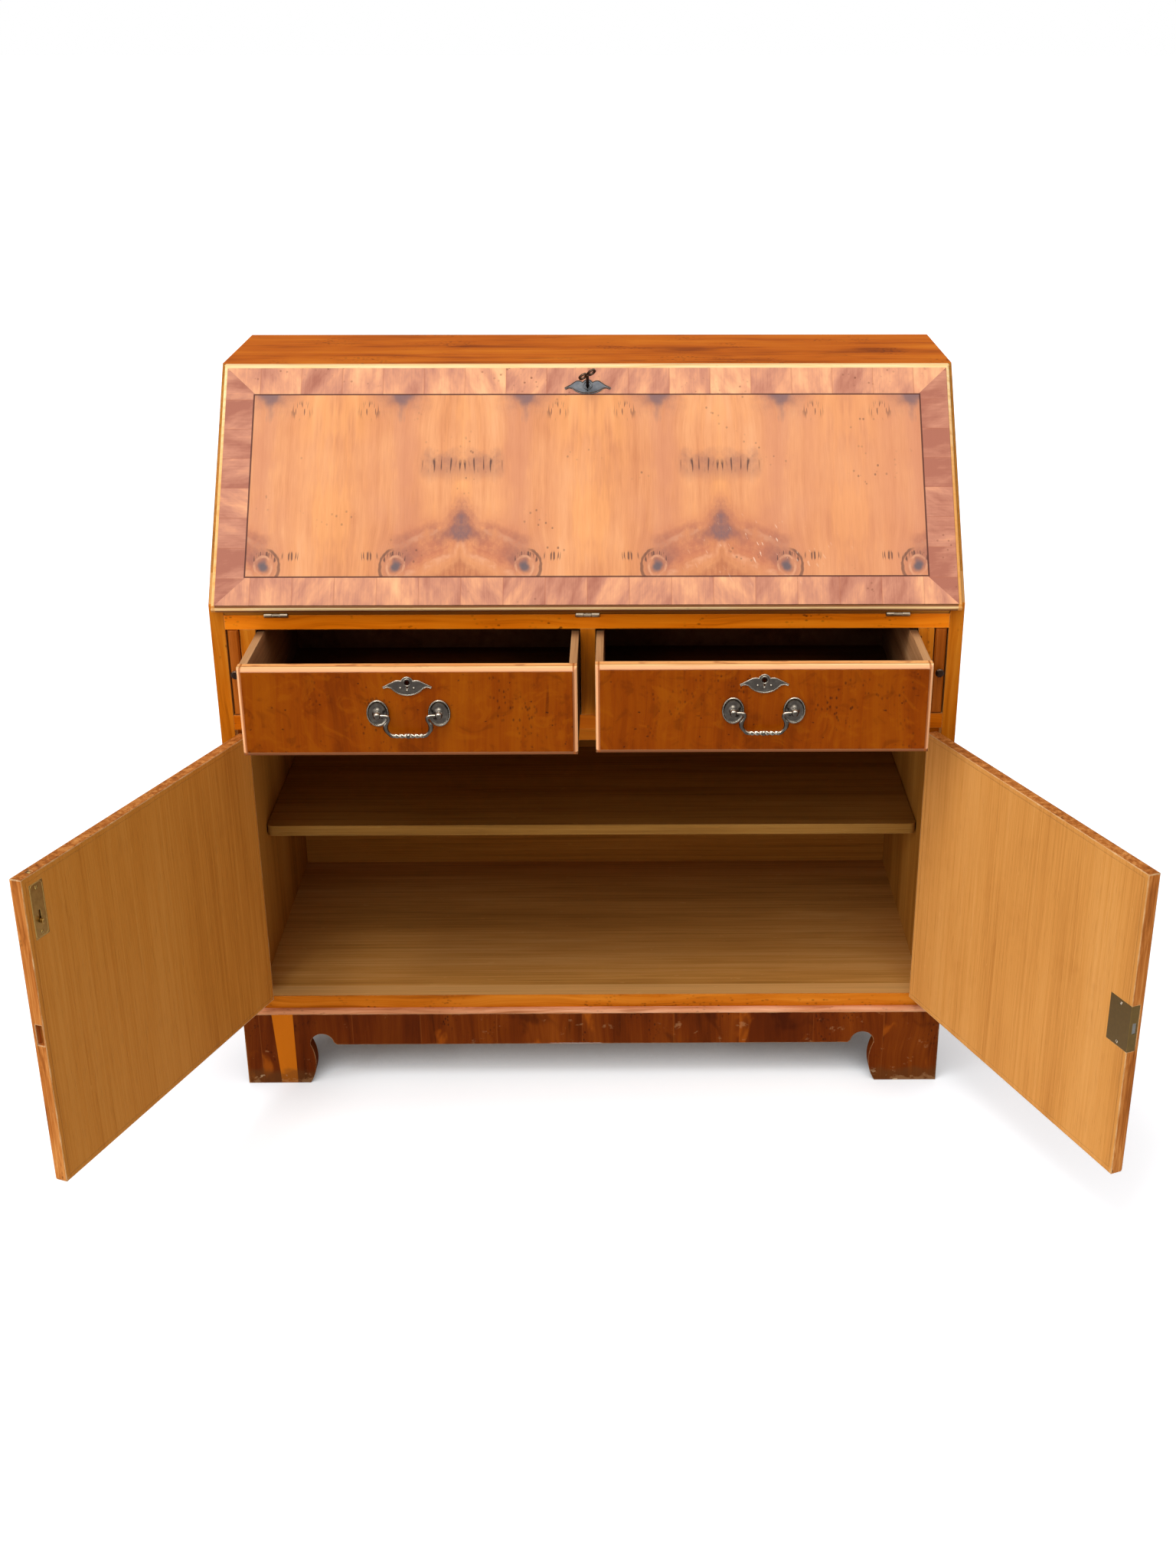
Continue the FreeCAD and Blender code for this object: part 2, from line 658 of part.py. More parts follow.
def build_fall():
    fall_half = half - fall_reveal
    lip_face = fall_thickness - fall_lip_drop

    def top_edge(level):
        """Distance up the slope at which the fall's upper edge is flush with the top board."""
        return (overall_height - flush_gap - writing_height - level * math.cos(beta)) / math.sin(beta)

    field_end = top_edge(lip_face) - fall_lip
    panel = box(both(tongue_half), (fall_edge_gap, lock_top), (0, tongue))
    field = box(both(fall_half - fall_lip), (fall_edge_gap + fall_lip, field_end), (tongue, fall_thickness))
    panel = panel.fuse(field).removeSplitter()

    strips = mitred_strips((-fall_half, fall_edge_gap), (fall_half, field_end + fall_lip), fall_lip,
                           (tongue, lip_face), fall_lip_radius)
    top_profile = ((field_end, tongue), (top_edge(tongue), tongue), (top_edge(lip_face), lip_face),
                   (field_end, lip_face))
    top_strip = rounded(prism(top_profile, "x", both(fall_half)), fall_lip_radius,
                        [Vector(0, top_edge(lip_face), lip_face)])
    mitre_end = field_end + fall_lip
    plan = ((-fall_half + fall_lip, field_end), (fall_half - fall_lip, field_end), (fall_half, mitre_end),
            (fall_half, top_edge(0)), (-fall_half, top_edge(0)), (-fall_half, mitre_end))
    strips[2] = top_strip.common(prism(plan, "z", (0, fall_thickness)))

    leather_high = lock_top - lock_height - leather_lock_gap
    leather = box(both(tongue_half - leather_margin), (leather_low, leather_high), (0, leather_thickness))
    leaves = []
    for x in desk_hinge_places:
        leaves.append(moved(moving_leaf(desk_hinge_length, (0, leaf_thickness)), x - desk_hinge_length / 2))
        panel = panel.cut([leaves[-1], knuckle_groove(x, 0)])

    case = box(both(lock_width / 2), (lock_top - lock_height, lock_top), (0, lock_depth))
    panel = panel.cut([leather, case])
    inside = (lock_wall, lock_depth - lock_wall)
    sweep = bit_length + 2 * running_gap
    ward = box(both(sweep), (key_level - sweep, key_level + sweep), inside)
    channel = box(both(fall_bolt_width / 2 + running_gap),
                  (lock_top - fall_bolt_length - running_gap, lock_top), inside)
    key_bore = rod(key_radius + key_fit, Vector(0, key_level, 0), Vector(0, key_level, lock_depth))
    keyway = keyhole_cut(key_level, inside[1], fall_thickness)
    case = case.cut([ward, channel, key_bore, keyway])
    panel = panel.cut(keyway)
    bolt = box(both(fall_bolt_width / 2), (lock_top - fall_bolt_length, lock_top - running_gap),
               (inside[0] + running_gap, inside[1] - running_gap))
    bolt = bolt.cut(ward)

    plate = moved(escutcheon(fall_wing), 0, key_level, fall_thickness)
    fall = {"fall_panel": panel, "fall_lipping": group(strips), "fall_leather": leather,
            "fall_hinge_leaves": group(leaves), "fall_escutcheon": plate, "fall_lock_case": case,
            "fall_lock_bolt": bolt, "fall_key": key()}
    for name, shape in fall.items():
        nodes[name] = on_slope(shape)


def keyhole_cut(level, low, high):
    """Clear way for a key through the wood behind an escutcheon, along Z."""
    return box(both(keyhole_radius), (level - keyhole_length, level + keyhole_radius), (low, high))


def key():
    """Key in the fall's frame: shank through the lock, bit inside it and a two-lobed bow outside."""
    bow_level = fall_thickness + key_reach
    shank = rod(key_radius, Vector(0, 0, 0), Vector(0, 0, bow_level))
    bit_low = (lock_depth - bit_height) / 2
    bit = box((-bit_length, 0), both(bit_thickness / 2), (bit_low, bit_low + bit_height))
    def lobe(side, radius):
        ring = ring_of_points(radius, bow_sides, 0)
        outline = [(side * bow_spread + p.x, bow_level + p.y) for p in ring]
        return prism(outline, "y", both(bow_thickness / 2))

    lobes = [lobe(side, bow_radius) for side in (-1, 1)]
    holes = [lobe(side, bow_hole) for side in (-1, 1)]
    whole = shank.fuse([bit] + lobes).cut(holes)
    return moved(turned(whole, Vector(0, 0, 1), key_turn), 0, key_level)


def left_bolt_axis():
    """Place of the left door's bolt rod when the door is shut."""
    return (-meeting_gap / 2 - bolt_plate_edge - bolt_plate_width / 2, door_thickness - bolt_cover)


def door_shell():
    """The left door shut: its panel and its four mitred lippings, before any hardware is let in."""
    x = (-inner_half + door_gap, -meeting_gap / 2)
    panel = box((x[0] + door_lip, x[1] - door_lip), (0, door_thickness),
                (door_low + door_lip, door_high - door_lip))
    strips = mitred_strips((x[0], door_low), (x[1], door_high), door_lip, (-door_thickness, 0),
                           door_lip_radius)
    return panel, [stood_up(strip) for strip in strips]


def build_doors():
    hinge_levels = (door_low + door_hinge_inset, door_high - door_hinge_inset)
    offset = door_gap / 2
    leaves = [door_leaf(moving_leaf, (-offset - leaf_thickness, -offset), z) for z in hinge_levels]
    panel, strips = door_shell()
    strips = [strip.cut(leaves) for strip in strips]
    panel = panel.cut(leaves)

    bolt_x, bolt_y = left_bolt_axis()
    plate_top = door_high - bolt_plate_drop
    plate_low = plate_top - bolt_plate_height
    plate = box((bolt_x - bolt_plate_width / 2, bolt_x + bolt_plate_width / 2),
                (door_thickness - bolt_plate_thickness, door_thickness), (plate_low, plate_top))
    knob_level = plate_low + bolt_knob_rise
    half_bolt = door_bolt_width / 2
    half_slot = bolt_stem_width / 2 + running_gap
    slot = box((bolt_x - half_slot, bolt_x + half_slot), (bolt_y, door_thickness),
               (knob_level - half_slot, knob_level + door_bolt_throw + half_slot))
    bolt_low = knob_level - door_bolt_width
    loose = half_bolt + running_gap
    bore = box((bolt_x - loose, bolt_x + loose), (bolt_y - loose, bolt_y + loose),
               (bolt_low - running_gap, door_high))
    knob_out = Vector(bolt_x, door_thickness + bolt_knob_reach, knob_level)
    bolt = box((bolt_x - half_bolt, bolt_x + half_bolt), (bolt_y - half_bolt, bolt_y + half_bolt),
               (bolt_low, door_high - bolt_end_gap))
    stem = box((bolt_x - bolt_stem_width / 2, bolt_x + bolt_stem_width / 2), (bolt_y, knob_out.y),
               (knob_level - bolt_stem_width / 2, knob_level + bolt_stem_width / 2))
    knob = rod(bolt_knob_radius, Vector(bolt_x, door_thickness + running_gap, knob_level), knob_out)
    bolt = bolt.fuse([stem, knob])

    lock_front = door_thickness - door_lock_depth
    strike = box((-meeting_gap / 2 - door_lock_throw - mortise_gap, -meeting_gap / 2),
                 (lock_front, lock_front + 2 * door_lock_bolt_thickness),
                 (door_lock_level - door_lock_bolt_height, door_lock_level + door_lock_bolt_height))
    left = {"door_left_panel": panel.cut([plate, bore, slot, strike]),
            "door_left_lipping": group(strip.cut([bore, strike]) for strip in strips),
            "door_left_hinge_leaves": group(leaves), "door_left_bolt_plate": plate.cut(slot),
            "door_left_bolt": bolt}
    for name, shape in left.items():
        nodes[name] = swung(shape, -1)

    edge = meeting_gap / 2
    case = box((edge, edge + door_lock_width), (lock_front, door_thickness),
               (door_lock_level - door_lock_height / 2, door_lock_level + door_lock_height / 2))
    bolt_front = lock_front + door_lock_bolt_thickness / 2
    bolt_y = (bolt_front, bolt_front + door_lock_bolt_thickness)
    bolt_z = (door_lock_level - door_lock_bolt_height / 2, door_lock_level + door_lock_bolt_height / 2)
    bolt = box((edge + running_gap, edge + door_lock_bolt_length), bolt_y, bolt_z)
    channel = box((edge, edge + door_lock_bolt_length + running_gap),
                  (bolt_y[0] - running_gap, bolt_y[1] + running_gap),
                  (bolt_z[0] - running_gap, bolt_z[1] + running_gap))
    keyway = moved(stood_up(keyhole_cut(0, -door_thickness + door_lock_depth / 2, 0)),
                   edge + door_key_inset, 0, door_lock_level)
    plate = stood_up(escutcheon(drawer_wing, door_plate_scale))
    plate = moved(plate, edge + door_key_inset, 0, door_lock_level)
    mirrored_leaves = [mirrored(leaf) for leaf in leaves]
    right = {"door_right_panel": mirrored(panel).cut([case, keyway]),
             "door_right_lipping": group(mirrored(strip).cut(case) for strip in strips),
             "door_right_hinge_leaves": group(mirrored_leaves),
             "door_lock_case": case.cut([channel, keyway]), "door_lock_bolt": bolt, "door_escutcheon": plate}
    for name, shape in right.items():
        nodes[name] = swung(shape, 1)


def build_drawer(name, side, pull):
    """One drawer with its furniture; side is -1 for left and 1 for right."""
    low_x, high_x = divider_thickness / 2 + drawer_gap, opening_half - drawer_gap
    x = (low_x, high_x) if side > 0 else (-high_x, -low_x)
    centre = (x[0] + x[1]) / 2
    z = (rail_top + drawer_gap, opening_top - drawer_gap)
    handle_level = (z[0] + z[1]) / 2
    key_hole_level = handle_level + escutcheon_rise

    lip = drawer_lip
    front = box((x[0] + lip, x[1] - lip), (0, drawer_front_thickness), (z[0] + lip, z[1] - lip))
    strips = mitred_strips((x[0], z[0]), (x[1], z[1]), lip, (-drawer_front_thickness, -drawer_lip_drop),
                           drawer_lip_radius)
    strips = [stood_up(strip) for strip in strips]

    seat = rail_top + running_gap
    side_level = (seat, z[1] - drawer_side_drop)
    long = (drawer_front_thickness, drawer_depth)
    bottom_low = seat + drawer_groove_height
    bottom_high = bottom_low + drawer_bottom_thickness
    walls = [box((x[0], x[0] + drawer_wall), long, side_level),
             box((x[1] - drawer_wall, x[1]), long, side_level),
             box((x[0] + drawer_wall, x[1] - drawer_wall), (drawer_depth - drawer_wall, drawer_depth),
                 (bottom_high, side_level[1] - drawer_back_drop))]
    rim = drawer_wall - drawer_groove_depth
    bottom = box((x[0] + rim, x[1] - rim), (drawer_front_thickness - drawer_groove_depth, drawer_depth),
                 (bottom_low, bottom_high))
    sham = moved(stood_up(keyhole_cut(0, -blind_keyhole, 0)), centre, 0, key_hole_level)
    plate = moved(stood_up(escutcheon(drawer_wing)), centre, 0, key_hole_level)
    posts = [moved(stood_up(rosette()), x, 0, handle_level)
             for x in (centre - handle_centres / 2, centre + handle_centres / 2)]
    pieces = {"front": front.cut([bottom, sham]), "lipping": group(strip.cut(bottom) for strip in strips),
              "box": group(wall.cut(bottom) for wall in walls), "bottom": bottom, "escutcheon": plate,
              "handle_posts": group(posts), "bail": moved(bail(), centre, -pivot_reach, handle_level)}
    for piece, shape in pieces.items():
        nodes["drawer_%s_%s" % (name, piece)] = moved(shape, y=-pull)


def build_lopers():
    x = (-inner_half + loper_gap, -slot_half - loper_gap)
    z = (rail_top + running_gap, opening_top - running_gap)
    centre = ((x[0] + x[1]) / 2, (z[0] + z[1]) / 2)
    loper = box(x, (0, loper_length), z)
    front = [Vector(centre[0], 0, z[0]), Vector(centre[0], 0, z[1]),
             Vector(x[0], 0, centre[1]), Vector(x[1], 0, centre[1])]
    loper = loper.makeChamfer(loper_chamfer, nearest_edges(loper, front))
    knob = turned_knob(knob_radius, knob_stem_radius, knob_length, knob_head, knob_seat)
    knob = moved(stood_up(knob), centre[0], 0, centre[1])
    loper = loper.cut(knob)
    nodes["loper_left"], nodes["loper_left_knob"] = loper, knob
    nodes["loper_right"], nodes["loper_right_knob"] = mirrored(loper), mirrored(knob)


def build_stationery():
    face = seat_y(top_under) + fitting_clearance
    deep = (face, back_face)
    board_low = writing_height + stationery_height
    board_high = board_low + fitting_board
    nodes["pigeonhole_shelf"] = box(both(inner_half), deep, (board_low, board_high))
    dividers = []
    for side in (-1, 1):
        middle = side * (inner_half - stationery_width - fitting_board / 2)
        dividers.append(box((middle - fitting_board / 2, middle + fitting_board / 2), deep,
                            (writing_height, board_low)))
    step = 2 * inner_half / pigeonholes
    for i in range(1, pigeonholes):
        middle = -inner_half + i * step
        dividers.append(box((middle - fitting_board / 2, middle + fitting_board / 2), deep,
                            (board_high, top_under)))
    nodes["pigeonhole_dividers"] = group(dividers)

    x = (-inner_half + stationery_gap, -inner_half + stationery_width - stationery_gap)
    z = (writing_height + stationery_seat, board_low - stationery_gap)
    wall = stationery_wall
    front_back = face + stationery_front
    rear = back_face - stationery_gap
    floor = z[0] + stationery_bottom
    centre = (x[0] + x[1]) / 2
    level = (z[0] + z[1]) / 2
    knob = turned_knob(stationery_knob_radius, stationery_knob_radius * 0.45, stationery_knob_reach,
                       stationery_knob_reach * 0.5, stationery_front * 0.6)
    knob = moved(stood_up(knob), centre, face, level)
    front = box(x, (face, front_back), z).cut(knob)
    tray = [box(x, (front_back, rear), (z[0], floor)),
            box((x[0], x[0] + wall), (front_back, rear), (floor, z[1] - wall)),
            box((x[1] - wall, x[1]), (front_back, rear), (floor, z[1] - wall)),
            box((x[0] + wall, x[1] - wall), (rear - wall, rear), (floor, z[1] - wall))]
    drawer = group([front, knob] + tray)
    nodes["stationery_drawer_left"] = drawer
    nodes["stationery_drawer_right"] = mirrored(drawer)


build_carcass()
build_plinth()
build_fall()
build_doors()
build_drawer("left", -1, drawer_pull_left)
build_drawer("right", 1, drawer_pull_right)
build_lopers()
build_stationery()

os.makedirs("parts", exist_ok=True)
for node_name, node_shape in nodes.items():
    node_shape.exportStep("parts/%s.step" % node_name)
    sound = node_shape.isValid() and all(solid.Volume > 0 for solid in node_shape.Solids)
    print("%-26s %2d solids  %10.1f mm3  %s" % (node_name, len(node_shape.Solids), node_shape.Volume,
                                                "sound" if sound else "NOT SOUND"))
print(len(nodes), "nodes")
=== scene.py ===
import math

import bpy
from mathutils import Matrix, Vector


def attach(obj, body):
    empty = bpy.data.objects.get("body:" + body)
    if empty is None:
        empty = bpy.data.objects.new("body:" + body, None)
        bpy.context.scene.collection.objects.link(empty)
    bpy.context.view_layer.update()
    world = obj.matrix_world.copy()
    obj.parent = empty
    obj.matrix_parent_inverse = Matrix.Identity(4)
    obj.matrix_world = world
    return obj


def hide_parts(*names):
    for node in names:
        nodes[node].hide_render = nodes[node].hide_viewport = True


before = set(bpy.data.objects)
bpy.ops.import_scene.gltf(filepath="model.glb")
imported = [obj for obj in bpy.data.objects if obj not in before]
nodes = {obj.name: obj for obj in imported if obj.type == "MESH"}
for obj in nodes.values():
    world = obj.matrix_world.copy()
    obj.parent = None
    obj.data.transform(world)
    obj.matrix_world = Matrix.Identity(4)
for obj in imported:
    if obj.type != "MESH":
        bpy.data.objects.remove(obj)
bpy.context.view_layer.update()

# Sizes of the bureau that finishes and fittings refer to, in metres
WRITING_LEVEL = 0.720
SLOPE = math.radians(50)
FALL_THICKNESS = 0.020
FIELD_HALF = 0.490
FIELD_LOW, FIELD_HIGH = 0.0055, 0.3522
BAND_SIDE, BAND_END = 0.038, 0.040
INLAY = 0.0011
OUTER_SIDE, OUTER_TOP, FRONT_EDGE = 0.4995, 1.0055, 0.0012
LEATHER_HALF, LEATHER_LOW, LEATHER_HIGH = 0.4335, 0.052, 0.2823
LEAF, LEAF_SHIFT = 0.173, 0.005
KEY_LEVEL = 0.3251
DOOR_HINGE_X, DOOR_HINGE_Y = 0.48025, -0.0038
DOOR_OPEN = {-1: math.radians(-111.8), 1: math.radians(113.0)}
DOOR_THICKNESS, DOOR_VENEER, DOOR_BORDER = 0.019, 0.004, 0.0045
DOOR_MIDDLE, DOOR_LEAF, DOOR_OUTER = 0.2405, 0.119, 0.4752
DRAWERS = {"left": (-0.2255, 0.150), "right": (0.2255, 0.144)}
HANDLE_LEVEL = 0.639
DRAWER_FOOT = 0.5795
DRAWER_SEAM = 0.0085
DRAWER_HALF, DRAWER_LIP = 0.214, 0.0056
# Level of the keyholes, and radius of the painted shade in them
KEYHOLE_LEVEL, KEYHOLE_SHADE_RADIUS = HANDLE_LEVEL + 0.041, 0.0037
DOOR_LOCK_X, DOOR_LOCK_LEVEL = 0.026, 0.350
BOLT_PLATE_X, BOLT_PLATE_LEVEL, BOLT_SCREW_LEVELS = -0.024, 0.508, (0.4795, 0.5365)
LOCK_SCREW_X, LOCK_SCREW_RISE = 0.021, 0.0265
DOOR_PLATE_SCALE = 0.64
DOOR_LOW, DOOR_HIGH = 0.144, 0.555
PIVOT_REACH = 0.0115
POST_OFFSET = 0.039
MM = 0.001

# Camera fitted to the photograph, in pixels of a 1536 by 2048 picture and in metres
PICTURE_HIGH = 2048
FOCAL, AXIS_RIGHT, AXIS_DOWN = 2415.8, 70.24, 53.6
CAMERA_PLACE = (0.0453, -2.3449, 1.4852)
CAMERA_PITCH, CAMERA_YAW, CAMERA_ROLL = 0.42891, 0.01142, 0.00103
SENSOR = 36.0


def rgb(red, green, blue):
    """Shader colour for a colour on screen, each part from 0 to 255."""
    def linear(part):
        part /= 255
        return part / 12.92 if part <= 0.04045 else ((part + 0.055) / 1.055) ** 2.4
    return (linear(red), linear(green), linear(blue), 1.0)


class Number:
    """A value that varies over a surface. Arithmetic with it adds nodes to its material."""

    def __init__(self, shade, socket):
        self.shade = shade
        self.socket = socket

    def __add__(self, other):
        return self.shade.math("ADD", self, other)

    def __sub__(self, other):
        return self.shade.math("SUBTRACT", self, other)

    def __rsub__(self, other):
        return self.shade.math("SUBTRACT", other, self)

    def __mul__(self, other):
        return self.shade.math("MULTIPLY", self, other)

    def __abs__(self):
        return self.shade.math("ABSOLUTE", self)

    __radd__ = __add__
    __rmul__ = __mul__


class Paint:
    """A colour that varies over a surface, built up in layers."""

    def __init__(self, shade, socket):
        self.shade = shade
        self.socket = socket

    def lay(self, share, tone):
        """Blends a tone over the colour, as far as the share says."""
        self.socket = self.shade.blend(share, self, tone).socket


class Shade:
    """A material under construction. Its methods add shader nodes and return what comes out of them."""

    def __init__(self, name):
        self.material = bpy.data.materials.new(name)
        self.material.use_nodes = True
        self.tree = self.material.node_tree
        self.surface = self.tree.nodes["Principled BSDF"]
        place = self.node("ShaderNodeSeparateXYZ", Vector=self.node("ShaderNodeTexCoord").outputs["Object"])
        self.x, self.y, self.z = (Number(self, socket) for socket in place.outputs)

    def feed(self, target, value):
        """Links a socket to a target, or sets the target to a constant."""
        source = getattr(value, "socket", value)
        if isinstance(source, bpy.types.NodeSocket):
            self.tree.links.new(source, target)
        else:
            target.default_value = source

    def node(self, kind, **inputs):
        made = self.tree.nodes.new(kind)
        for name, value in inputs.items():
            self.feed(made.inputs[name], value)
        return made

    def math(self, operation, *values):
        made = self.node("ShaderNodeMath")
        made.operation = operation
        for target, value in zip(made.inputs, values):
            self.feed(target, value)
        return Number(self, made.outputs[0])

    def vector(self, x, y, z):
        return self.node("ShaderNodeCombineXYZ", X=x, Y=y, Z=z).outputs[0]

    def noise(self, x, y, z, detail=2.0, rough=0.5, warp=0.0):
        """Cloudy noise around 0.5, with one lump for each unit of the coordinates."""
        made = self.node("ShaderNodeTexNoise", Vector=self.vector(x, y, z), Scale=1.0, Detail=detail,
                         Roughness=rough, Distortion=warp)
        return Number(self, made.outputs[0])

    def specks(self, x, y, z, size):
        """Scattered round specks, 1 in the middle of each, one for each unit of the coordinates."""
        made = self.node("ShaderNodeTexVoronoi", Vector=self.vector(x, y, z), Scale=1.0)
        return self.step(Number(self, made.outputs["Distance"]), size, size * 0.35)

    def chance(self, value):
        """A random number from 0 to 1 for each whole number."""
        made = self.node("ShaderNodeTexWhiteNoise")
        made.noise_dimensions = "1D"
        self.feed(made.inputs["W"], self.math("FLOOR", value))
        return Number(self, made.outputs["Value"])

    def step(self, value, low, high):
        """0 at low, 1 at high and smooth between them; low may be the larger."""
        made = self.node("ShaderNodeMapRange")
        made.interpolation_type = "SMOOTHSTEP"
        for target, number in zip(made.inputs, (value, low, high)):
            self.feed(target, number)
        return Number(self, made.outputs[0])

    def above(self, value, level):
        return self.math("GREATER_THAN", value, level)

    def spot(self, across, up, centre, reach):
        """1 at a centre, falling off smoothly over the reach in each direction."""
        u = (across - centre[0]) * (1 / reach[0])
        v = (up - centre[1]) * (1 / reach[1])
        return self.math("EXPONENT", (u * u + v * v) * -1.0)

    def blend(self, share, first, second):
        """Colour that goes from first to second as the share goes from 0 to 1."""
        made = self.node("ShaderNodeMix")
        made.data_type = "RGBA"
        for target, value in ((0, share), (6, first), (7, second)):
            self.feed(made.inputs[target], value)
        return Paint(self, made.outputs[2])

    def ramp(self, value, stops):
        """Colour for a value, from (value, colour) stops."""
        made = self.node("ShaderNodeValToRGB", Fac=value)
        elements = made.color_ramp.elements
        elements.remove(elements[1])
        elements[0].position, elements[0].color = stops[0]
        for position, colour in stops[1:]:
            elements.new(position).color = colour
        return Paint(self, made.outputs[0])

    def edges(self, radius):
        """How near a sharp edge is, 0 to about 1, and the normal with that edge softened."""
        soft = self.node("ShaderNodeBevel", Radius=radius).outputs[0]
        turn = self.node("ShaderNodeVectorMath")
        turn.operation = "DOT_PRODUCT"
        self.feed(turn.inputs[0], soft)
        self.feed(turn.inputs[1], self.node("ShaderNodeNewGeometry").outputs["True Normal"])
        return 1.0 - Number(self, turn.outputs["Value"]), soft

    def hollow(self, reach):
        """How closely a place is shut in by what lies within a reach, 0 in the open to 1 in a crevice."""
        return 1.0 - Number(self, self.node("ShaderNodeAmbientOcclusion", Distance=reach).outputs["AO"])

    def finish(self, colour, roughness, height=None, depth=0.0002, normal=None, **constants):
        """The finished material. A height gives fine relief, and constants set other inputs."""
        self.feed(self.surface.inputs["Base Color"], colour)
        self.feed(self.surface.inputs["Roughness"], roughness)
        for name, value in constants.items():
            self.surface.inputs[name.replace("_", " ")].default_value = value
        if height is not None:
            bump = self.node("ShaderNodeBump", Strength=1.0, Distance=depth, Height=height)
            if normal is not None:
                self.feed(bump.inputs["Normal"], normal)
            self.feed(self.surface.inputs["Normal"], bump.outputs[0])
        return self.material


# Dark of the pips in yew, and painted shade for the hollows of shut-in boards
PIP, PAINTED_HOLLOW_SHADE = rgb(50, 20, 6), rgb(44, 22, 10)
# Gloss of the old lacquer on all the wood: a thin coat over a matt surface
LACQUER = {"Specular_IOR_Level": 0.0, "Coat_Weight": 0.06, "Coat_Roughness": 0.28}


def yew(shade, along, across, deep, tones, bands=24.0, flecks=0.8, seed=0.0, figure=1.0):
    """Colour and relief of yew: warm bands that wander and feather, dark streaks, fine fibres, small pips."""
    dark, middle, pale = tones
    sway = shade.noise(along * 4 + seed, across * 5, deep * 5) - 0.5
    wander = across + sway * 0.045
    band = shade.noise(along * 2.2 + seed, wander * bands, deep * bands, detail=4, rough=0.66, warp=0.35)
    streak = shade.noise(along * 5 + seed, wander * 130, deep * 130, detail=3, rough=0.6)
    fibre = shade.noise(along * 14, wander * 600, deep * 600, detail=1)
    cloud = shade.noise(along * 9, across * 11 + seed, deep * 11)
    tone = band * 0.54 + streak * 0.2 + fibre * 0.08 + cloud * 0.18
    shown = (tone - 0.48) * figure + 0.48
    colour = shade.ramp(shown, ((0.34, dark), (0.48, middle), (0.64, pale)))
    scar = shade.step(shade.noise(along * 7 + seed, wander * 85, deep * 85), 0.66, 0.76)
    colour.lay(scar * 0.55, dark)
    clump = shade.step(shade.noise(along * 12 + seed, across * 14, deep * 14), 0.5, 0.7)
    pip = shade.specks(along * 120, across * 190 + sway * 3, deep * 190, 0.36) * clump * flecks
    colour.lay(pip, PIP)
    return colour, tone * 0.4 + fibre * 0.6 - pip


def straight_grain(shade, along, across, deep, tones, fine=1.0, calm=1.0):
    """Colour and relief of a straight-grained veneer: narrow even ribbons and long dark pores."""
    dark, middle, pale = tones
    sway = shade.noise(along * 1.5, across * 3, deep * 3, detail=1) - 0.5
    wander = across + sway * 0.012
    ribbon = shade.noise(along * 1.6, wander * 60 * fine, deep * 60 * fine, detail=3, rough=0.6)
    fibre = shade.noise(along * 9, wander * 900, deep * 900)
    cloud = shade.noise(along * 1.3, across * 15, deep * 15, detail=3, rough=0.6)
    pore = shade.step(shade.noise(along * 30, wander * 1300, deep * 1300, detail=1), 0.64, 0.78)
    tone = (ribbon * 0.3 + fibre * 0.22 + cloud * 0.48 - 0.5) * calm + 0.5
    colour = shade.ramp(tone, ((0.36, dark), (0.5, middle), (0.64, pale)))
    colour.lay(pore * 0.4 * calm, dark)
    scratch = shade.noise(along * 55 + across * 40, across * 210, deep * 210, detail=1)
    scratch = shade.step(scratch, 0.735, 0.765)
    return shade.blend(scratch * 0.4, colour, pale), fibre - pore


def worn(shade, colour, bare, radius=0.0016, amount=1.0):
    """Rubs a paler tone through a finish along sharp edges, in patches."""
    edge, soft = shade.edges(radius)
    patch = shade.noise(shade.x * 38, shade.y * 38, shade.z * 38, detail=3, rough=0.6)
    rub_and_highlight = shade.step(edge * 1.2 + (patch - 0.62) * 1.1, 0.05, 0.3) * shade.step(edge, 0.01, 0.08)
    return shade.blend(rub_and_highlight * amount, colour, bare), soft


def lacquered(shade, colour, roughness, relief, bare, **wear):
    """Wood under old lacquer, rubbed to a bare tone along its edges."""
    colour, soft = worn(shade, colour, bare, **wear)
    return shade.finish(colour, roughness, relief, normal=soft, **LACQUER)


def grain_order(shade, axis):
    """Coordinates along the grain, across it and through it, for grain along one axis."""
    x, y, z = shade.x, shade.y, shade.z
    return {"x": (x, z, y), "y": (y, x, z), "z": (z, x, y)}[axis]


def board(name, build, tones, axis, bare=rgb(226, 168, 104), sheen=0.36, amount=0.6, grime=0.0, **grain):
    """A whole board of one wood, with its grain along one axis, and painted shade in its hollows where it is
    shut in.
    """
    shade = Shade(name)
    colour, relief = build(shade, *grain_order(shade, axis), tones, **grain)
    colour, soft = worn(shade, colour, bare, amount=amount)
    if grime:
        # Painted shade: darker where the board is more shut in
        colour.lay(shade.step(shade.hollow(0.12), 0.2, 0.6) * grime, PAINTED_HOLLOW_SHADE)
    return shade.finish(colour, relief * 0.16 + sheen, relief, normal=soft, **LACQUER)


def wood(*colours):
    """Tones of a wood, dark to pale, from colours on screen."""
    return tuple(rgb(*colour) for colour in colours)


TOP_TONES = wood((118, 47, 2), (190, 92, 9), (214, 118, 23))
FRONT_TONES = wood((84, 28, 0), (134, 57, 1), (160, 82, 4))
EDGE_TONES = wood((140, 68, 4), (186, 100, 12), (204, 124, 30))
RAIL_TONES = wood((148, 64, 2), (192, 95, 7), (210, 116, 18))
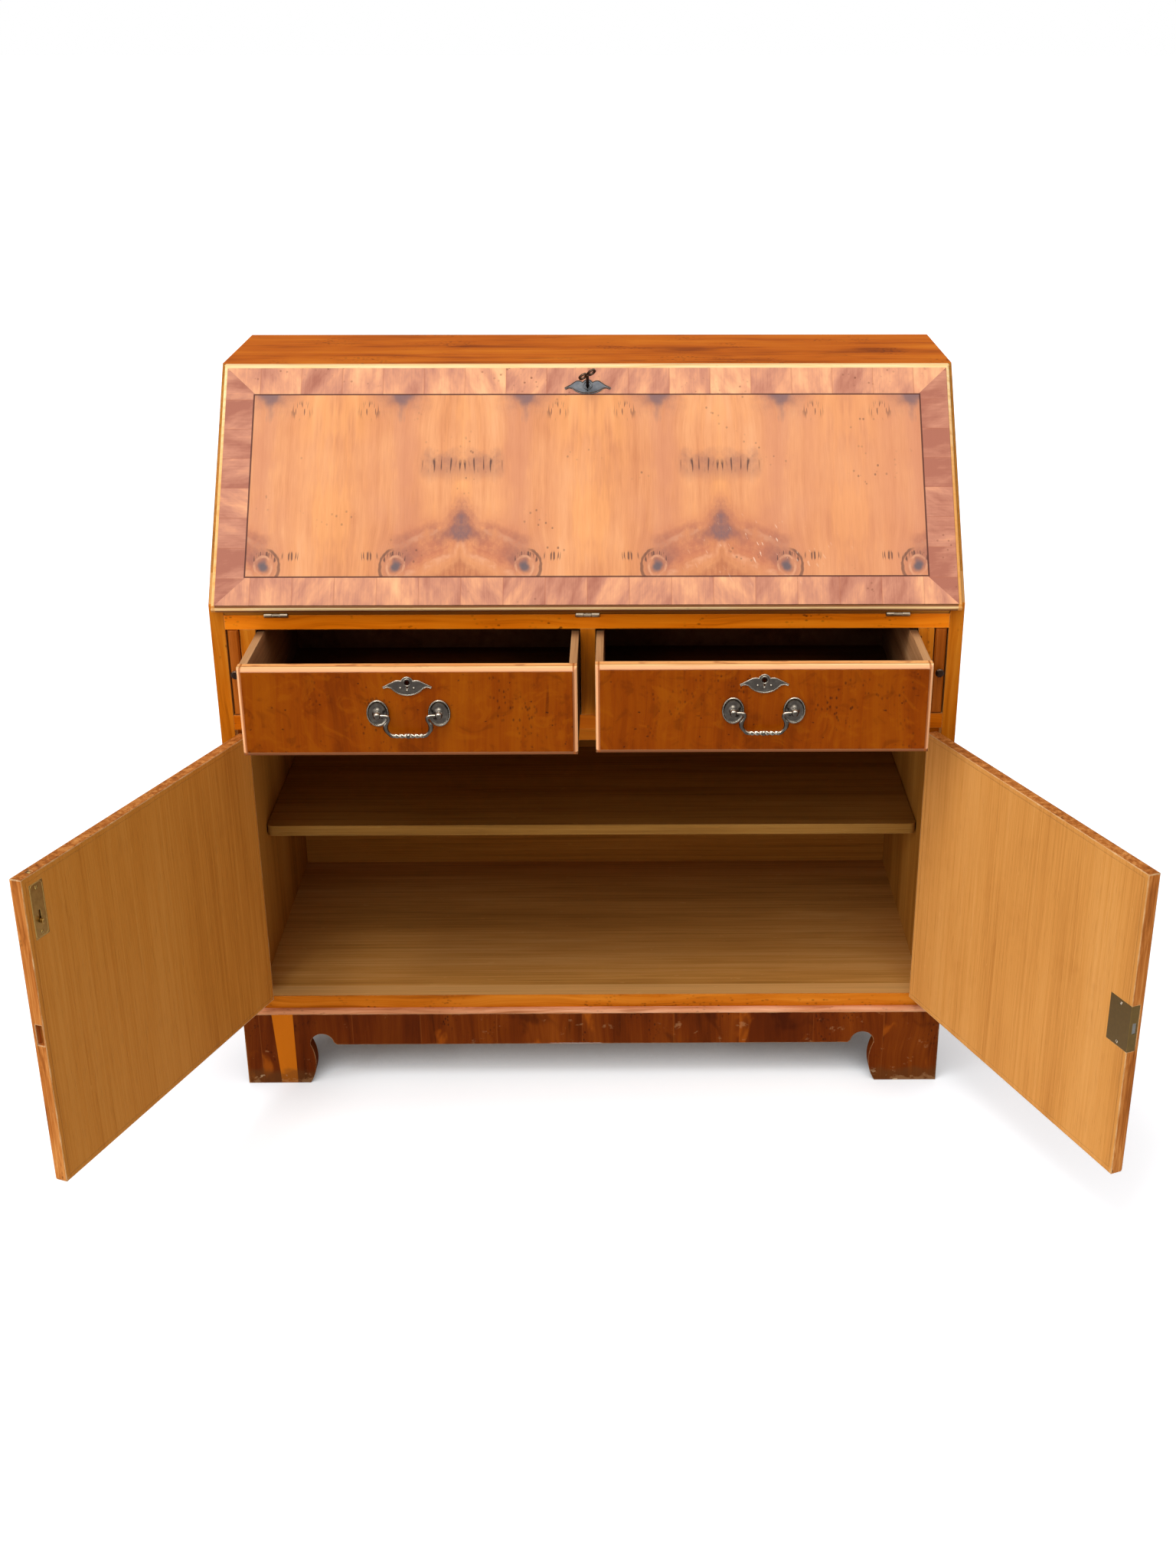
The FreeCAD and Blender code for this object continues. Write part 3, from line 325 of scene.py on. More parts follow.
# Front edge of the writing board, brighter than the rail: painted light against the shade under the fall's
# lip
WRITING_TONES = wood((184, 84, 3), (234, 121, 11), (250, 146, 26))
BACK_TONES = wood((138, 86, 27), (190, 125, 48), (214, 150, 68))
BOTTOM_EDGE_TONES = wood((132, 62, 6), (192, 104, 16), (214, 130, 36))
LIP_TONES = wood((214, 154, 96), (252, 208, 146), (255, 228, 174))
# Painted shade for the foot of the fall's lipping and of the drawers' edging
LIP_SHADE = rgb(112, 52, 16)
LIP_GOLD = rgb(236, 158, 72)
DRAWER_LIP_TONES = wood((222, 158, 100), (252, 204, 140), (255, 226, 170))
DRAWER_EDGE_TONES = wood((184, 108, 56), (232, 156, 90), (252, 190, 120))
DRAWER_NOSE = rgb(242, 176, 126)
# Painted shade down the sides of the drawers' edging
DRAWER_FLANK_SHADE = rgb(168, 92, 40)
INSIDE_TONES = wood((124, 78, 24), (172, 114, 44), (194, 138, 62))
BOTTOM_TONES = wood((138, 92, 36), (188, 132, 64), (212, 160, 94))
SHELF_TONES = wood((118, 80, 32), (162, 116, 52), (184, 140, 72))
FRONT_STRIP, FRONT_STRIP_DEPTH = rgb(226, 176, 112), 0.030
# The doors are one wood: the right door's lighter tones are painted light, the left door's darker ones
# painted shade
DOOR_TONES = {-1: wood((160, 92, 28), (194, 124, 48), (208, 141, 64)),
              1: wood((172, 108, 46), (206, 141, 70), (220, 158, 88))}
DOOR_LIP_TONES = wood((112, 56, 20), (176, 102, 42), (222, 152, 82))
# Painted shade for the hollows of the metal and for the keyholes
PAINTED_SHADE_DARK = rgb(16, 13, 11)
PLINTH_TONES = wood((60, 20, 2), (102, 41, 5), (134, 64, 12))
MOULDING_TONES = wood((150, 84, 44), (204, 136, 94), (234, 174, 136))
BOX_TONES = wood((150, 104, 66), (190, 140, 94), (208, 162, 116))
LOPER_TONES = wood((115, 53, 8), (160, 80, 16), (180, 98, 32))

# Figure of the fall's veneer: the knots' place on a leaf, in metres, and the tones
KNOT_AT, KNOT_LEVEL = 0.087, 0.060
FIELD_STOPS = ((0.33, rgb(192, 120, 80)), (0.45, rgb(216, 144, 98)), (0.54, rgb(229, 159, 110)),
               (0.66, rgb(238, 175, 128)))
MAUVE = rgb(206, 136, 104)
HONEY = rgb(248, 172, 106)
SMOKE = rgb(152, 102, 90)
SMOKE_GREY = rgb(112, 96, 102)
ARCH_RED = rgb(176, 104, 74)
ARCH_BROWN = rgb(196, 120, 88)
KNOT_DARK = rgb(82, 62, 60)
KNOT_HEART = rgb(96, 92, 98)
KNOT_PALE = rgb(238, 178, 136)
BAND_STOPS = ((0.28, rgb(172, 108, 88)), (0.42, rgb(200, 136, 110)), (0.53, rgb(226, 158, 120)),
              (0.66, rgb(250, 186, 136)))
BAND_PIP = rgb(110, 60, 42)
INLAY_DARK = rgb(84, 50, 44)
SCUFF_PALE = rgb(250, 222, 196)
# Each arch of the figure rises to a point over the joint of two leaves
ARCH_RISE, ARCH_REACH = 0.060, 0.042


def on_fall(shade):
    """Distance up the fall's slope from its hinges, and out of its inner face."""
    c, s = math.cos(SLOPE), math.sin(SLOPE)
    rise = shade.z - WRITING_LEVEL
    return shade.y * c + rise * s, rise * c - shade.y * s


def figured_field(shade, up, clump):
    """Colour, relief and tone of the fall's leaves of figured yew, each the mirror image of the next."""
    noise, step, spot = shade.noise, shade.step, shade.spot
    stray = noise(shade.x * 9, up * 9, 0.0) - 0.5
    leaf = shade.math("PINGPONG", shade.x - LEAF_SHIFT + stray * 0.006, LEAF)

    rough_u = noise(leaf * 30, up * 22, 1.0, detail=3, rough=0.6) - 0.5
    rough_v = noise(leaf * 26, up * 26, 9.0, detail=3, rough=0.6) - 0.5
    u, v = leaf + rough_u * 0.024, up + rough_v * 0.026
    aside = LEAF - u
    halo = spot(u, v, (KNOT_AT, 0.066), (0.030, 0.034))
    crown = spot(u, v, (KNOT_AT, 0.318), (0.038, 0.032))
    level = v - shade.math("EXPONENT", abs(aside) * (-1 / ARCH_REACH)) * ARCH_RISE
    near = step(aside, 0.105, 0.070)
    arch = step(level, 0.120, 0.080) * near

    flow = leaf - (leaf - KNOT_AT) * (halo * 0.7 + crown * 0.5)
    straight = noise(flow * 40, up * 2.4, 0.0, detail=4, rough=0.6)
    curved = noise(level * 70, aside * 8, 3.0, detail=3, rough=0.6)
    figure = straight + (curved - straight) * arch * 0.8
    streak = noise(flow * 190, up * 6.0, 0.0, detail=3, rough=0.6)
    fibre = noise(flow * 900, up * 40, 0.0, detail=1)
    cloud = noise(shade.x * 9, up * 6, 6.0, detail=3, rough=0.6)
    tint = shade.chance((shade.x - LEAF_SHIFT) * (1 / LEAF) + 20.0) - 0.5
    tone = figure * 0.38 + streak * 0.15 + fibre * 0.11 + cloud * 0.36 + tint * 0.05
    field = shade.ramp(tone, FIELD_STOPS)
    column = step(abs(u - KNOT_AT + cloud * 0.06 - 0.03), 0.072, 0.012)
    drift = noise(leaf * 24, up * 5, 8.0, detail=4, rough=0.62)
    field.lay(column * step(drift, 0.40, 0.62) * 0.55, MAUVE)
    field.lay((1.0 - column) * step(drift, 0.42, 0.60) * 0.45, HONEY)
    # Painted shade: the field darker towards its right-hand side
    field.lay(step(shade.x, 0.08, 0.46) * 0.35, MAUVE)

    # Smoky shade round the knots, in the arches and along the upper edge
    haze = noise(leaf * 60, up * 44, 5.0, detail=3, rough=0.65)
    brown = step(level, 0.122, 0.084) * step(level, 0.018, 0.046) * near
    field.lay(brown * step(haze + curved, 0.55, 1.3), ARCH_BROWN)
    crease = step(abs(level - 0.036), 0.007, 0.001) * near
    upper = step(abs(level - 0.084), 0.006, 0.001) * near
    crease = crease + upper * step(aside, 0.012, 0.03)
    field.lay(crease * step(haze, 0.38, 0.62) * 0.45, KNOT_PALE)
    outer = step(abs(level - 0.092), 0.030, 0.0) * near
    inner = step(abs(level - 0.062), 0.026, 0.0) * near
    tip = spot(aside, v, (0.0, 0.122), (0.013, 0.026))
    wings = spot(aside, v, (0.0, 0.104), (0.034, 0.011))
    veil = spot(u, v, (KNOT_AT, 0.310), (0.062, 0.050))
    smoke = halo * 0.6 + crown * 0.5 + veil * 0.3 + outer * 0.4 + inner * 0.35 + tip * 0.7 + wings * 0.5
    smoke = step(smoke * (haze * 1.5 + straight * 0.6), 0.2, 1.1)
    field.lay(smoke * 0.75, SMOKE)
    foot = step(level, 0.030, 0.012) * near
    field.lay(foot * step(haze + streak, 0.5, 1.1) * 0.75, ARCH_RED)
    cap = spot(u, v, (KNOT_AT, 0.316), (0.025, 0.017))
    tail = spot(u, v, (KNOT_AT + 0.003, 0.282), (0.008, 0.028))
    grey = step(cap + tail * streak + (tip * 1.3 + wings * 0.7 + halo * 0.5) * haze, 0.3, 0.95)
    field.lay(grey * 0.7, SMOKE_GREY)

    # Knots: a soft grey heart in a thin pale ring, a dark curve on one side and short lashes over it
    du, dv = leaf + rough_u * 0.014 - KNOT_AT, (up + rough_v * 0.014 - KNOT_LEVEL) * 0.85
    far = shade.math("SQRT", du * du + dv * dv)
    pale = step(abs(far - 0.0115), 0.0028, 0.0006) * step(haze, 0.35, 0.55)
    field.lay(pale * 0.45, KNOT_PALE)
    field.lay(step(far, 0.0092, 0.0030) * 0.85, KNOT_HEART)
    curve = step(abs(far - 0.0215), 0.0030, 0.0008) * step(du, 0.004, -0.012)
    drip = step(noise(leaf * 240, up * 20, 7.0, detail=1), 0.55, 0.63)
    hairs = step(noise(leaf * 430, up * 34, 7.0, detail=1), 0.53, 0.62)
    lash = step(abs(far - 0.0160), 0.0042, 0.0012) * step(dv, 0.002, 0.009) * hairs
    dash = spot(leaf, up, (0.050, 0.075), (0.014, 0.006)) * hairs
    crest = spot(leaf, up, (0.046, 0.288), (0.013, 0.012)) * hairs
    mark = curve * 0.7 + lash + dash * 1.3 + crest * 1.3
    field.lay(step(mark, 0.1, 0.9) * 0.75, KNOT_DARK)
    row_level = 0.207 + (haze - 0.5) * 0.03
    row = step(aside, 0.064, 0.046)
    field.lay(step(abs(up - row_level), 0.030, 0.004) * row * 0.9 * haze, SMOKE)
    field.lay(step(abs(up - row_level), 0.013, 0.003) * row * drip * 0.8, KNOT_DARK)
    pip = shade.specks(shade.x * 110, up * 90, 0.0, 0.22) * clump
    return shade.blend(pip * 0.7, field, KNOT_DARK), fibre + streak * 0.5, tone


def crossband(shade, up, side, clump):
    """Colour of the band round the fall: short strips laid across it. Side is 1 on its upright parts."""
    run = shade.x * (1.0 - side) + up * side
    rise = up * (1.0 - side) + shade.x * side
    count = run * (18.0 + 5.0 * side) + 40.0
    strip = shade.chance(count)
    lean = (strip - 0.5) * 0.9
    flame = shade.noise((run + rise * lean) * 34 + strip * 9, rise * 13, strip * 5, detail=4, rough=0.58)
    hair = shade.noise(run * 640, rise * 22, 0.0, detail=1)
    # Darker on the band's upright parts and a little along its foot; the extra on the right-hand upright is
    # painted shade
    dusk = side * (shade.above(shade.x, 0.0) * 0.05 + 0.12) + (1.0 - side) * shade.above(0.15, up) * 0.03
    cross = shade.ramp(flame * 0.76 + strip * 0.14 + hair * 0.1 - dusk, BAND_STOPS)
    joint = shade.step(abs(shade.math("FRACT", count) - 0.5), 0.480, 0.492)
    cross.lay(joint * 0.35, ARCH_RED)
    pip = shade.specks(shade.x * 120, up * 120, 4.0, 0.26) * clump
    return shade.blend(pip * 0.7, cross, BAND_PIP)


def fall_veneer():
    """Panel of the fall: figured yew in an inlaid line and a mitred crossband, plain wood on the inside."""
    shade = Shade("fall_veneer")
    up, out = on_fall(shade)
    clump = shade.step(shade.noise(shade.x * 9, up * 10, 2.0), 0.54, 0.68)
    field, relief, tone = figured_field(shade, up, clump)

    to_side = FIELD_HALF - abs(shade.x)
    to_end = shade.math("MINIMUM", up - FIELD_LOW, FIELD_HIGH - up)
    cross = crossband(shade, up, shade.above(to_end - to_side, 0.0), clump)
    inset = shade.math("MINIMUM", to_side - BAND_SIDE, to_end - BAND_END)
    colour = shade.blend(shade.above(inset, 0.0), cross, field)
    line = shade.step(abs(inset), INLAY * 1.15, INLAY * 0.75)
    colour.lay(line * 0.9, INLAY_DARK)
    scratch = shade.noise(shade.x * 210 + up * 90, up * 55 - shade.x * 20, 0.0)
    scuff = shade.step(scratch, 0.66, 0.72)
    scuff = scuff * shade.spot(shade.x, up, (0.235, 0.085), (0.075, 0.04))
    colour.lay(scuff * 0.6, SCUFF_PALE)

    lining, _ = straight_grain(shade, shade.x, up, out, INSIDE_TONES)
    colour = shade.blend(shade.above(out, FALL_THICKNESS - 0.0006), lining, colour)
    _, soft = shade.edges(0.0012)
    return shade.finish(colour, tone * 0.14 + 0.30, relief - line, depth=0.00015, normal=soft, **LACQUER)


def fall_lip_wood():
    """Pale lipping round the fall, golden down its flanks. Along the foot painted shade leaves only its
    rounded nose pale.
    """
    shade = Shade("fall_lip_wood")
    up, out = on_fall(shade)
    colour, relief = yew(shade, shade.x, up, out, LIP_TONES, bands=120.0, flecks=0.15)
    # Painted shade along the foot: the quirk above the nose and the face under it dark, only the rounded nose
    # left pale
    foot = shade.above(FIELD_LOW + 0.0002, up)
    face = shade.step(up, 0.0021, 0.0029)
    under = shade.step(out, 0.0146, 0.0130)
    colour.lay(foot * shade.math("MAXIMUM", face, under) * 0.9, LIP_SHADE)
    flank = shade.above(abs(shade.x), FIELD_HALF - 0.0004) * shade.step(up, 0.34, 0.16)
    colour.lay(flank * (shade.above(shade.x, 0.0) * 0.25 + 0.55), LIP_GOLD)
    return lacquered(shade, colour, relief * 0.16 + 0.36, relief, rgb(255, 226, 172), amount=0.5)


def case_wood(name, axis, outside_tones, edge_tones=EDGE_TONES, inside_tones=INSIDE_TONES):
    """Carcass boards: veneer outside, lipped front edges and plainer wood inside."""
    shade = Shade(name)
    order = {"x": (shade.x, shade.z, shade.y), "z": (shade.z, shade.y, shade.x)}
    outer, relief = yew(shade, *order[axis], outside_tones, seed=3.0)
    front, _ = yew(shade, *grain_order(shade, axis), edge_tones, bands=60.0, flecks=0.9, seed=8.0)
    inner, _ = straight_grain(shade, *order[axis], inside_tones, fine=4.0, calm=0.8)
    inner.lay(shade.above(FRONT_STRIP_DEPTH, shade.y) * 0.45, FRONT_STRIP)
    shown = shade.math("MAXIMUM", shade.above(abs(shade.x), OUTER_SIDE), shade.above(shade.z, OUTER_TOP))
    colour = shade.blend(shown, inner, outer)
    colour.lay(shade.above(FRONT_EDGE, shade.y), front)
    return lacquered(shade, colour, relief * 0.16 + 0.34, relief, rgb(232, 170, 104), amount=0.55)


def drawer_front_wood(name, pull, seed):
    """Drawer front: golden brown veneer with curling lighter and darker clouds and small pips."""
    shade = Shade(name)
    dark, _, pale = FRONT_TONES
    colour, relief = yew(shade, shade.z, shade.x, shade.y + pull, FRONT_TONES, bands=15.0, flecks=0.7,
                         seed=seed, figure=0.7)
    curl = shade.noise(shade.x * 24 + seed, shade.z * 27, seed, detail=3, rough=0.55, warp=1.8)
    colour.lay(shade.step(curl, 0.54, 0.68) * 0.35, pale)
    colour.lay(shade.step(curl, 0.46, 0.32) * 0.3, dark)
    eye = shade.specks(shade.x * 70 + curl * 2, shade.z * 90, seed, 0.14)
    colour.lay(eye * shade.step(curl, 0.56, 0.48) * 0.8, PIP)
    return lacquered(shade, colour, relief * 0.14 + 0.36, relief, rgb(214, 150, 90), amount=0.3)


def drawer_lip_wood(name, pull):
    """Edging round a drawer front: a pale moulded nose before a golden strip, with painted shade along the
    foot and down the sides.
    """
    shade = Shade(name)
    deep = shade.y + pull
    colour, relief = yew(shade, shade.x, deep, shade.z, DRAWER_LIP_TONES, bands=90.0, flecks=0.2)
    strip, _ = yew(shade, shade.x, deep, shade.z, DRAWER_EDGE_TONES, bands=70.0, flecks=0.4, seed=5.0)
    stain = shade.step(shade.noise(shade.x * 26, deep * 60, 2.0), 0.56, 0.66)
    strip.lay(stain * 0.6, rgb(166, 96, 58))
    colour.lay(shade.above(deep, DRAWER_SEAM), strip)
    colour.lay(shade.step(deep, 0.0046, 0.0034), DRAWER_NOSE)
    seam = shade.step(abs(deep - DRAWER_SEAM), 0.0013, 0.0006)
    colour.lay(seam * 0.7, rgb(166, 92, 44))
    # Painted shade on the downward-facing foot and down the sides of the edging
    foot = shade.step(shade.z, DRAWER_FOOT + 0.0052, DRAWER_FOOT + 0.0040)
    colour.lay(foot * 0.85, LIP_SHADE)
    to_flank = DRAWER_HALF - abs(abs(shade.x) - DRAWERS["right"][0])
    flank = shade.step(to_flank, 0.0026, 0.0036) * shade.above(DRAWER_LIP, to_flank)
    colour.lay(flank * 0.8, DRAWER_FLANK_SHADE)
    return lacquered(shade, colour, relief * 0.16 + 0.38, relief - seam, rgb(252, 222, 176), amount=0.5)


def door_inside(shade, side):
    """Even straight-grained veneer over the whole inner face of a door, with faint stains."""
    colour, pores = straight_grain(shade, shade.z, shade.x, shade.y, DOOR_TONES[side], fine=5.0, calm=0.66)
    smear = shade.step(shade.noise(shade.x * 9, shade.y, shade.z * 7, detail=4, rough=0.65), 0.56, 0.74)
    return shade.blend(smear * 0.2, colour, rgb(160, 94, 34)), pores


def door_shade(name, side):
    """A material of an opened door, in the coordinates of the shut door."""
    shade = Shade(name)
    hinge = side * DOOR_HINGE_X
    c, s = math.cos(DOOR_OPEN[side]), math.sin(DOOR_OPEN[side])
    across, deep = shade.x - hinge, shade.y - DOOR_HINGE_Y
    shade.x, shade.y = across * c + deep * s + hinge, deep * c - across * s + DOOR_HINGE_Y
    return shade


def door_wood(name, side, seed):
    """A door: figured yew on the front and an even straight-grained veneer inside."""
    shade = door_shade(name, side)
    leaf = shade.math("PINGPONG", shade.x - side * DOOR_MIDDLE, DOOR_LEAF)
    front, _ = yew(shade, shade.z, leaf, shade.y, FRONT_TONES, bands=20.0, flecks=0.9, seed=seed)
    inner, pores = door_inside(shade, side)
    colour = shade.blend(shade.above(DOOR_VENEER, shade.y), inner, front)
    return lacquered(shade, colour, pores * 0.1 + 0.46, pores, rgb(232, 176, 112), amount=0.4)


def door_lip_wood(name, side):
    """Lipping of a door: solid wood on the edges, under the inner veneer on the inside."""
    shade = door_shade(name, side)
    colour, relief = yew(shade, shade.z, shade.x, shade.y, DOOR_LIP_TONES, bands=150.0, flecks=0.6)
    inner, _ = door_inside(shade, side)
    colour.lay(shade.above(shade.y, DOOR_THICKNESS - 0.0004), inner)
    across, level = abs(shade.x), shade.z
    border = shade.above(DOOR_BORDER, across) + shade.above(across, DOOR_OUTER)
    border = border + shade.above(DOOR_LOW + DOOR_BORDER, level) + shade.above(level, DOOR_HIGH - DOOR_BORDER)
    wear_and_highlight = shade.step(border, 0.2, 0.8)
    return lacquered(shade, colour, relief * 0.18 + 0.42, relief, rgb(248, 210, 158), radius=0.0036,
                     amount=wear_and_highlight)


# On the plinth: a pale strip on the left foot, and an edge rubbed bare near the middle, between two levels
PALE_STRIP_AT, PALE_STRIP_LEAN, BARED_AT = 0.4474, 0.03, 0.024
BARED_LOW, BARED_HIGH = 0.05, 0.08


def plinth_wood():
    """Plinth: strips of dark veneer laid upright side by side, rubbed and chipped along the feet."""
    shade = Shade("plinth_wood")
    x, y, z = shade.x, shade.y, shade.z
    noise, step = shade.noise, shade.step
    run = x + y
    count = run * 8.5 + noise(run * 4, 0.0, 0.0) * 2.4 + 30.0
    piece = shade.chance(count)
    colour, relief = yew(shade, z + piece * 3, run, run * 0.3, PLINTH_TONES, bands=20.0, flecks=0.9,
                         figure=0.9)
    colour.lay(step(piece, 0.6, 1.0) * 0.4, rgb(158, 76, 14))
    colour.lay(step(piece, 0.5, 0.1) * 0.5, rgb(76, 26, 4))
    flame = noise(run * 16, z * 9, piece * 7, detail=3, rough=0.6, warp=0.8)
    colour.lay(step(flame, 0.60, 0.72) * 0.5, rgb(176, 88, 16))
    colour.lay(step(flame, 0.42, 0.30) * 0.6, rgb(56, 17, 2))
    joint = step(abs(shade.math("FRACT", count) - 0.5), 0.490, 0.497)
    colour.lay(joint * 0.12, rgb(184, 106, 44))
    lean = z * PALE_STRIP_LEAN
    golden = step(abs(x + lean + PALE_STRIP_AT) - lean, 0.0122, 0.0114)
    colour.lay(golden * 0.75, rgb(214, 116, 18))
    dirt = noise(x * 45, y * 45, z * 60, detail=4, rough=0.65)
    grime = step(z + (dirt - 0.5) * 0.03, 0.026, 0.012)
    colour.lay(grime * 0.55, rgb(92, 58, 28))
    scrape = step(dirt + step(z, 0.03, 0.0) * 0.14, 0.63, 0.72)
    colour.lay(scrape * 0.25, rgb(196, 148, 100))
    chip = noise(x * 70, y * 70, z * 90)
    chip = step(chip, 0.67, 0.70) * step(z, 0.024, 0.004)
    colour.lay(chip * 0.5, rgb(222, 190, 146))
    edge, _ = shade.edges(0.0030)
    bared = step(abs(x + BARED_AT), 0.040, 0.034) * step(dirt, 0.40, 0.46)
    bared = bared * step(edge, 0.03, 0.08)
    bared = bared * shade.above(z, BARED_LOW) * shade.above(BARED_HIGH, z)
    colour.lay(bared, rgb(240, 232, 220))
    return lacquered(shade, colour, relief * 0.2 + 0.36, relief - scrape - chip, rgb(216, 168, 116),
                     radius=0.0024, amount=0.9)


def metal(name, dark, bright, roughness, bare=0.2, rub_and_highlight=0.7, keyhole=None):
    """Old metal: painted shade in the hollows, edges rubbed bright as wear and partly as a painted highlight,
    a painted highlight on upper sides, with faint tarnish.
    """
    shade = Shade(name)
    blot = shade.noise(shade.x * 160, shade.y * 160, shade.z * 160, detail=3, rough=0.6)
    pit = shade.noise(shade.x * 900, shade.y * 900, shade.z * 900)
    edge, soft = shade.edges(0.0009)
    # Painted highlight on the sides that face up
    normal = shade.node("ShaderNodeNewGeometry").outputs["Normal"]
    facing = shade.node("ShaderNodeSeparateXYZ", Vector=normal)
    wear_and_highlight = shade.step(Number(shade, facing.outputs["Z"]), 0.3, 0.95) * rub_and_highlight
    share = shade.step(edge * 2.4 + wear_and_highlight + (blot - 0.5) * 0.3 + bare * 0.5, 0.05, 0.95)
    colour = shade.blend(share, dark, bright)
    # Painted shade in the hollows
    colour.lay(shade.step(shade.hollow(0.006), 0.25, 0.75) * 0.7, PAINTED_SHADE_DARK)
    # The keyhole: a disc of painted shade
    if keyhole:
        x, z, radius = keyhole
        across, rise = abs(shade.x) - x, shade.z - z
        far = shade.math("SQRT", across * across + rise * rise)
        colour.lay(shade.step(far, radius, radius - 0.0006), PAINTED_SHADE_DARK)
    relief = pit * 0.4 + blot * 0.4
    return shade.finish(colour, blot * 0.14 + roughness, relief, depth=0.00003, normal=soft, Metallic=0.95)


def leather():
    """Writing surface: dark leather with a double gilt line round it."""
    shade = Shade("leather")
    up, _ = on_fall(shade)
    across = LEATHER_HALF - abs(shade.x)
    end = shade.math("MINIMUM", up - LEATHER_LOW, LEATHER_HIGH - up)
    rim = shade.math("MINIMUM", across, end)
    pebble = shade.node("ShaderNodeTexVoronoi", Vector=shade.vector(shade.x * 900, up * 900, 0.0), Scale=1.0)
    grain = Number(shade, pebble.outputs["Distance"])
    cloud = shade.noise(shade.x * 8, up * 8, 0.0, detail=4)
    colour = shade.ramp(cloud * 0.7 + grain * 0.3, ((0.3, rgb(40, 52, 34)), (0.6, rgb(66, 82, 54))))
    gilt = shade.step(abs(rim - 0.012), 0.0011, 0.0007) + shade.step(abs(rim - 0.018), 0.0006, 0.0003)
    gilt = gilt * shade.step(shade.noise(shade.x * 300, up * 300, 0.0), 0.3, 0.45)
    colour.lay(gilt, rgb(206, 164, 84))
    return shade.finish(colour, grain * 0.2 + 0.42, grain - gilt)


MATERIALS = {"fall_panel": fall_veneer(), "fall_lipping": fall_lip_wood(), "fall_leather": leather()}


def dress(material, *names):
    """Notes the material of the source's pieces with these names. A star stands for left and right."""
    for name in names:
        for side in ("left", "right"):
            MATERIALS[name.replace("*", side)] = material


BRONZE = (rgb(64, 58, 53), rgb(236, 224, 202), 0.17)
bronze = metal("dark_bronze", *BRONZE)
# The drawers' keyhole plates, with painted shade in the keyhole
drawer_bronze = metal("drawer_plate_bronze", *BRONZE,
                      keyhole=(DRAWERS["right"][0], KEYHOLE_LEVEL, KEYHOLE_SHADE_RADIUS))
pewter = metal("pewter", rgb(66, 68, 72), rgb(196, 192, 186), 0.28, rub_and_highlight=0.1)
brass = metal("bolt_brass", rgb(116, 86, 40), rgb(200, 164, 92), 0.24, bare=0.7)
lock_brass = metal("lock_brass", rgb(84, 64, 30), rgb(134, 106, 58), 0.3, bare=0.5)
hinge_brass = metal("hinge_brass", rgb(110, 92, 70), rgb(216, 198, 172), 0.26, bare=0.8)
iron = metal("key_iron", rgb(42, 27, 19), rgb(112, 88, 70), 0.3)
steel = metal("lock_steel", rgb(92, 88, 82), rgb(170, 166, 158), 0.32, bare=0.6)

# Finish of the plain boards inside and of the drawers' boxes, which get painted shade in their hollows
PLAIN = {"sheen": 0.44, "amount": 0.3, "fine": 4.0, "calm": 0.8}
BOX = {"sheen": 0.5, "amount": 0.2, "grime": 0.75}
dress(case_wood("case_sides", "z", FRONT_TONES), "side_panel_*", "drawer_partitions")
dress(case_wood("case_top", "x", TOP_TONES, RAIL_TONES), "top_board", "drawer_rail")
dress(case_wood("writing_wood", "x", TOP_TONES, WRITING_TONES), "writing_board")
dress(case_wood("case_floor", "x", TOP_TONES, BOTTOM_EDGE_TONES, BOTTOM_TONES), "bottom_board")
dress(board("batten_wood", yew, EDGE_TONES, "x", bands=50.0, flecks=0.4), "door_stop_batten")
dress(board("shelf_wood", straight_grain, SHELF_TONES, "x", **PLAIN), "shelf")
dress(board("inside_wood", straight_grain, INSIDE_TONES, "x", **PLAIN), "drawer_runners", "plinth_back",
      "pigeonhole_shelf")
dress(board("back_wood", straight_grain, BACK_TONES, "x", **PLAIN), "back_panel")
dress(board("fitting_wood", straight_grain, INSIDE_TONES, "z", sheen=0.44, amount=0.4, fine=1.6),
      "pigeonhole_dividers", "stationery_drawer_*")
dress(plinth_wood(), "plinth_front", "plinth_side_*")
dress(board("moulding_wood", yew, MOULDING_TONES, "x", bands=80.0, flecks=0.3), "base_moulding")
dress(board("loper_wood", straight_grain, LOPER_TONES, "z", bare=rgb(226, 166, 110), fine=1.5), "loper_*")
dress(iron, "loper_*_knob", "fall_key")
dress(pewter, "fall_escutcheon")
dress(hinge_brass, "carcass_hinge_leaves", "fall_hinge_leaves", "door_*_hinge_leaves")
dress(brass, "door_left_bolt_plate", "door_left_bolt", "shelf_pegs")
dress(lock_brass, "door_lock_case")
dress(steel, "fall_lock_case", "fall_lock_bolt", "door_lock_bolt")
dress(bronze, "door_escutcheon", "drawer_*_handle_posts", "drawer_*_bail")
dress(drawer_bronze, "drawer_*_escutcheon")
dress(board("drawer_box_wood", straight_grain, BOX_TONES, "y", **BOX), "drawer_*_box")
dress(board("drawer_bottom_wood", straight_grain, INSIDE_TONES, "x", **BOX), "drawer_*_bottom")
for name, side, seed in (("left", -1, 1.0), ("right", 1, 6.5)):
    drawer, door, drawn = "drawer_%s_" % name, "door_%s_" % name, DRAWERS[name][1]
    dress(drawer_front_wood(drawer + "veneer", drawn, seed), drawer + "front")
    dress(drawer_lip_wood(drawer + "edging", drawn), drawer + "lipping")
    dress(door_wood(door + "veneer", side, 4.0 + side), door + "panel")
    dress(door_lip_wood(door + "edging", side), door + "lipping")

for name, node in nodes.items():
    node.data.materials.clear()
    node.data.materials.append(MATERIALS[name])


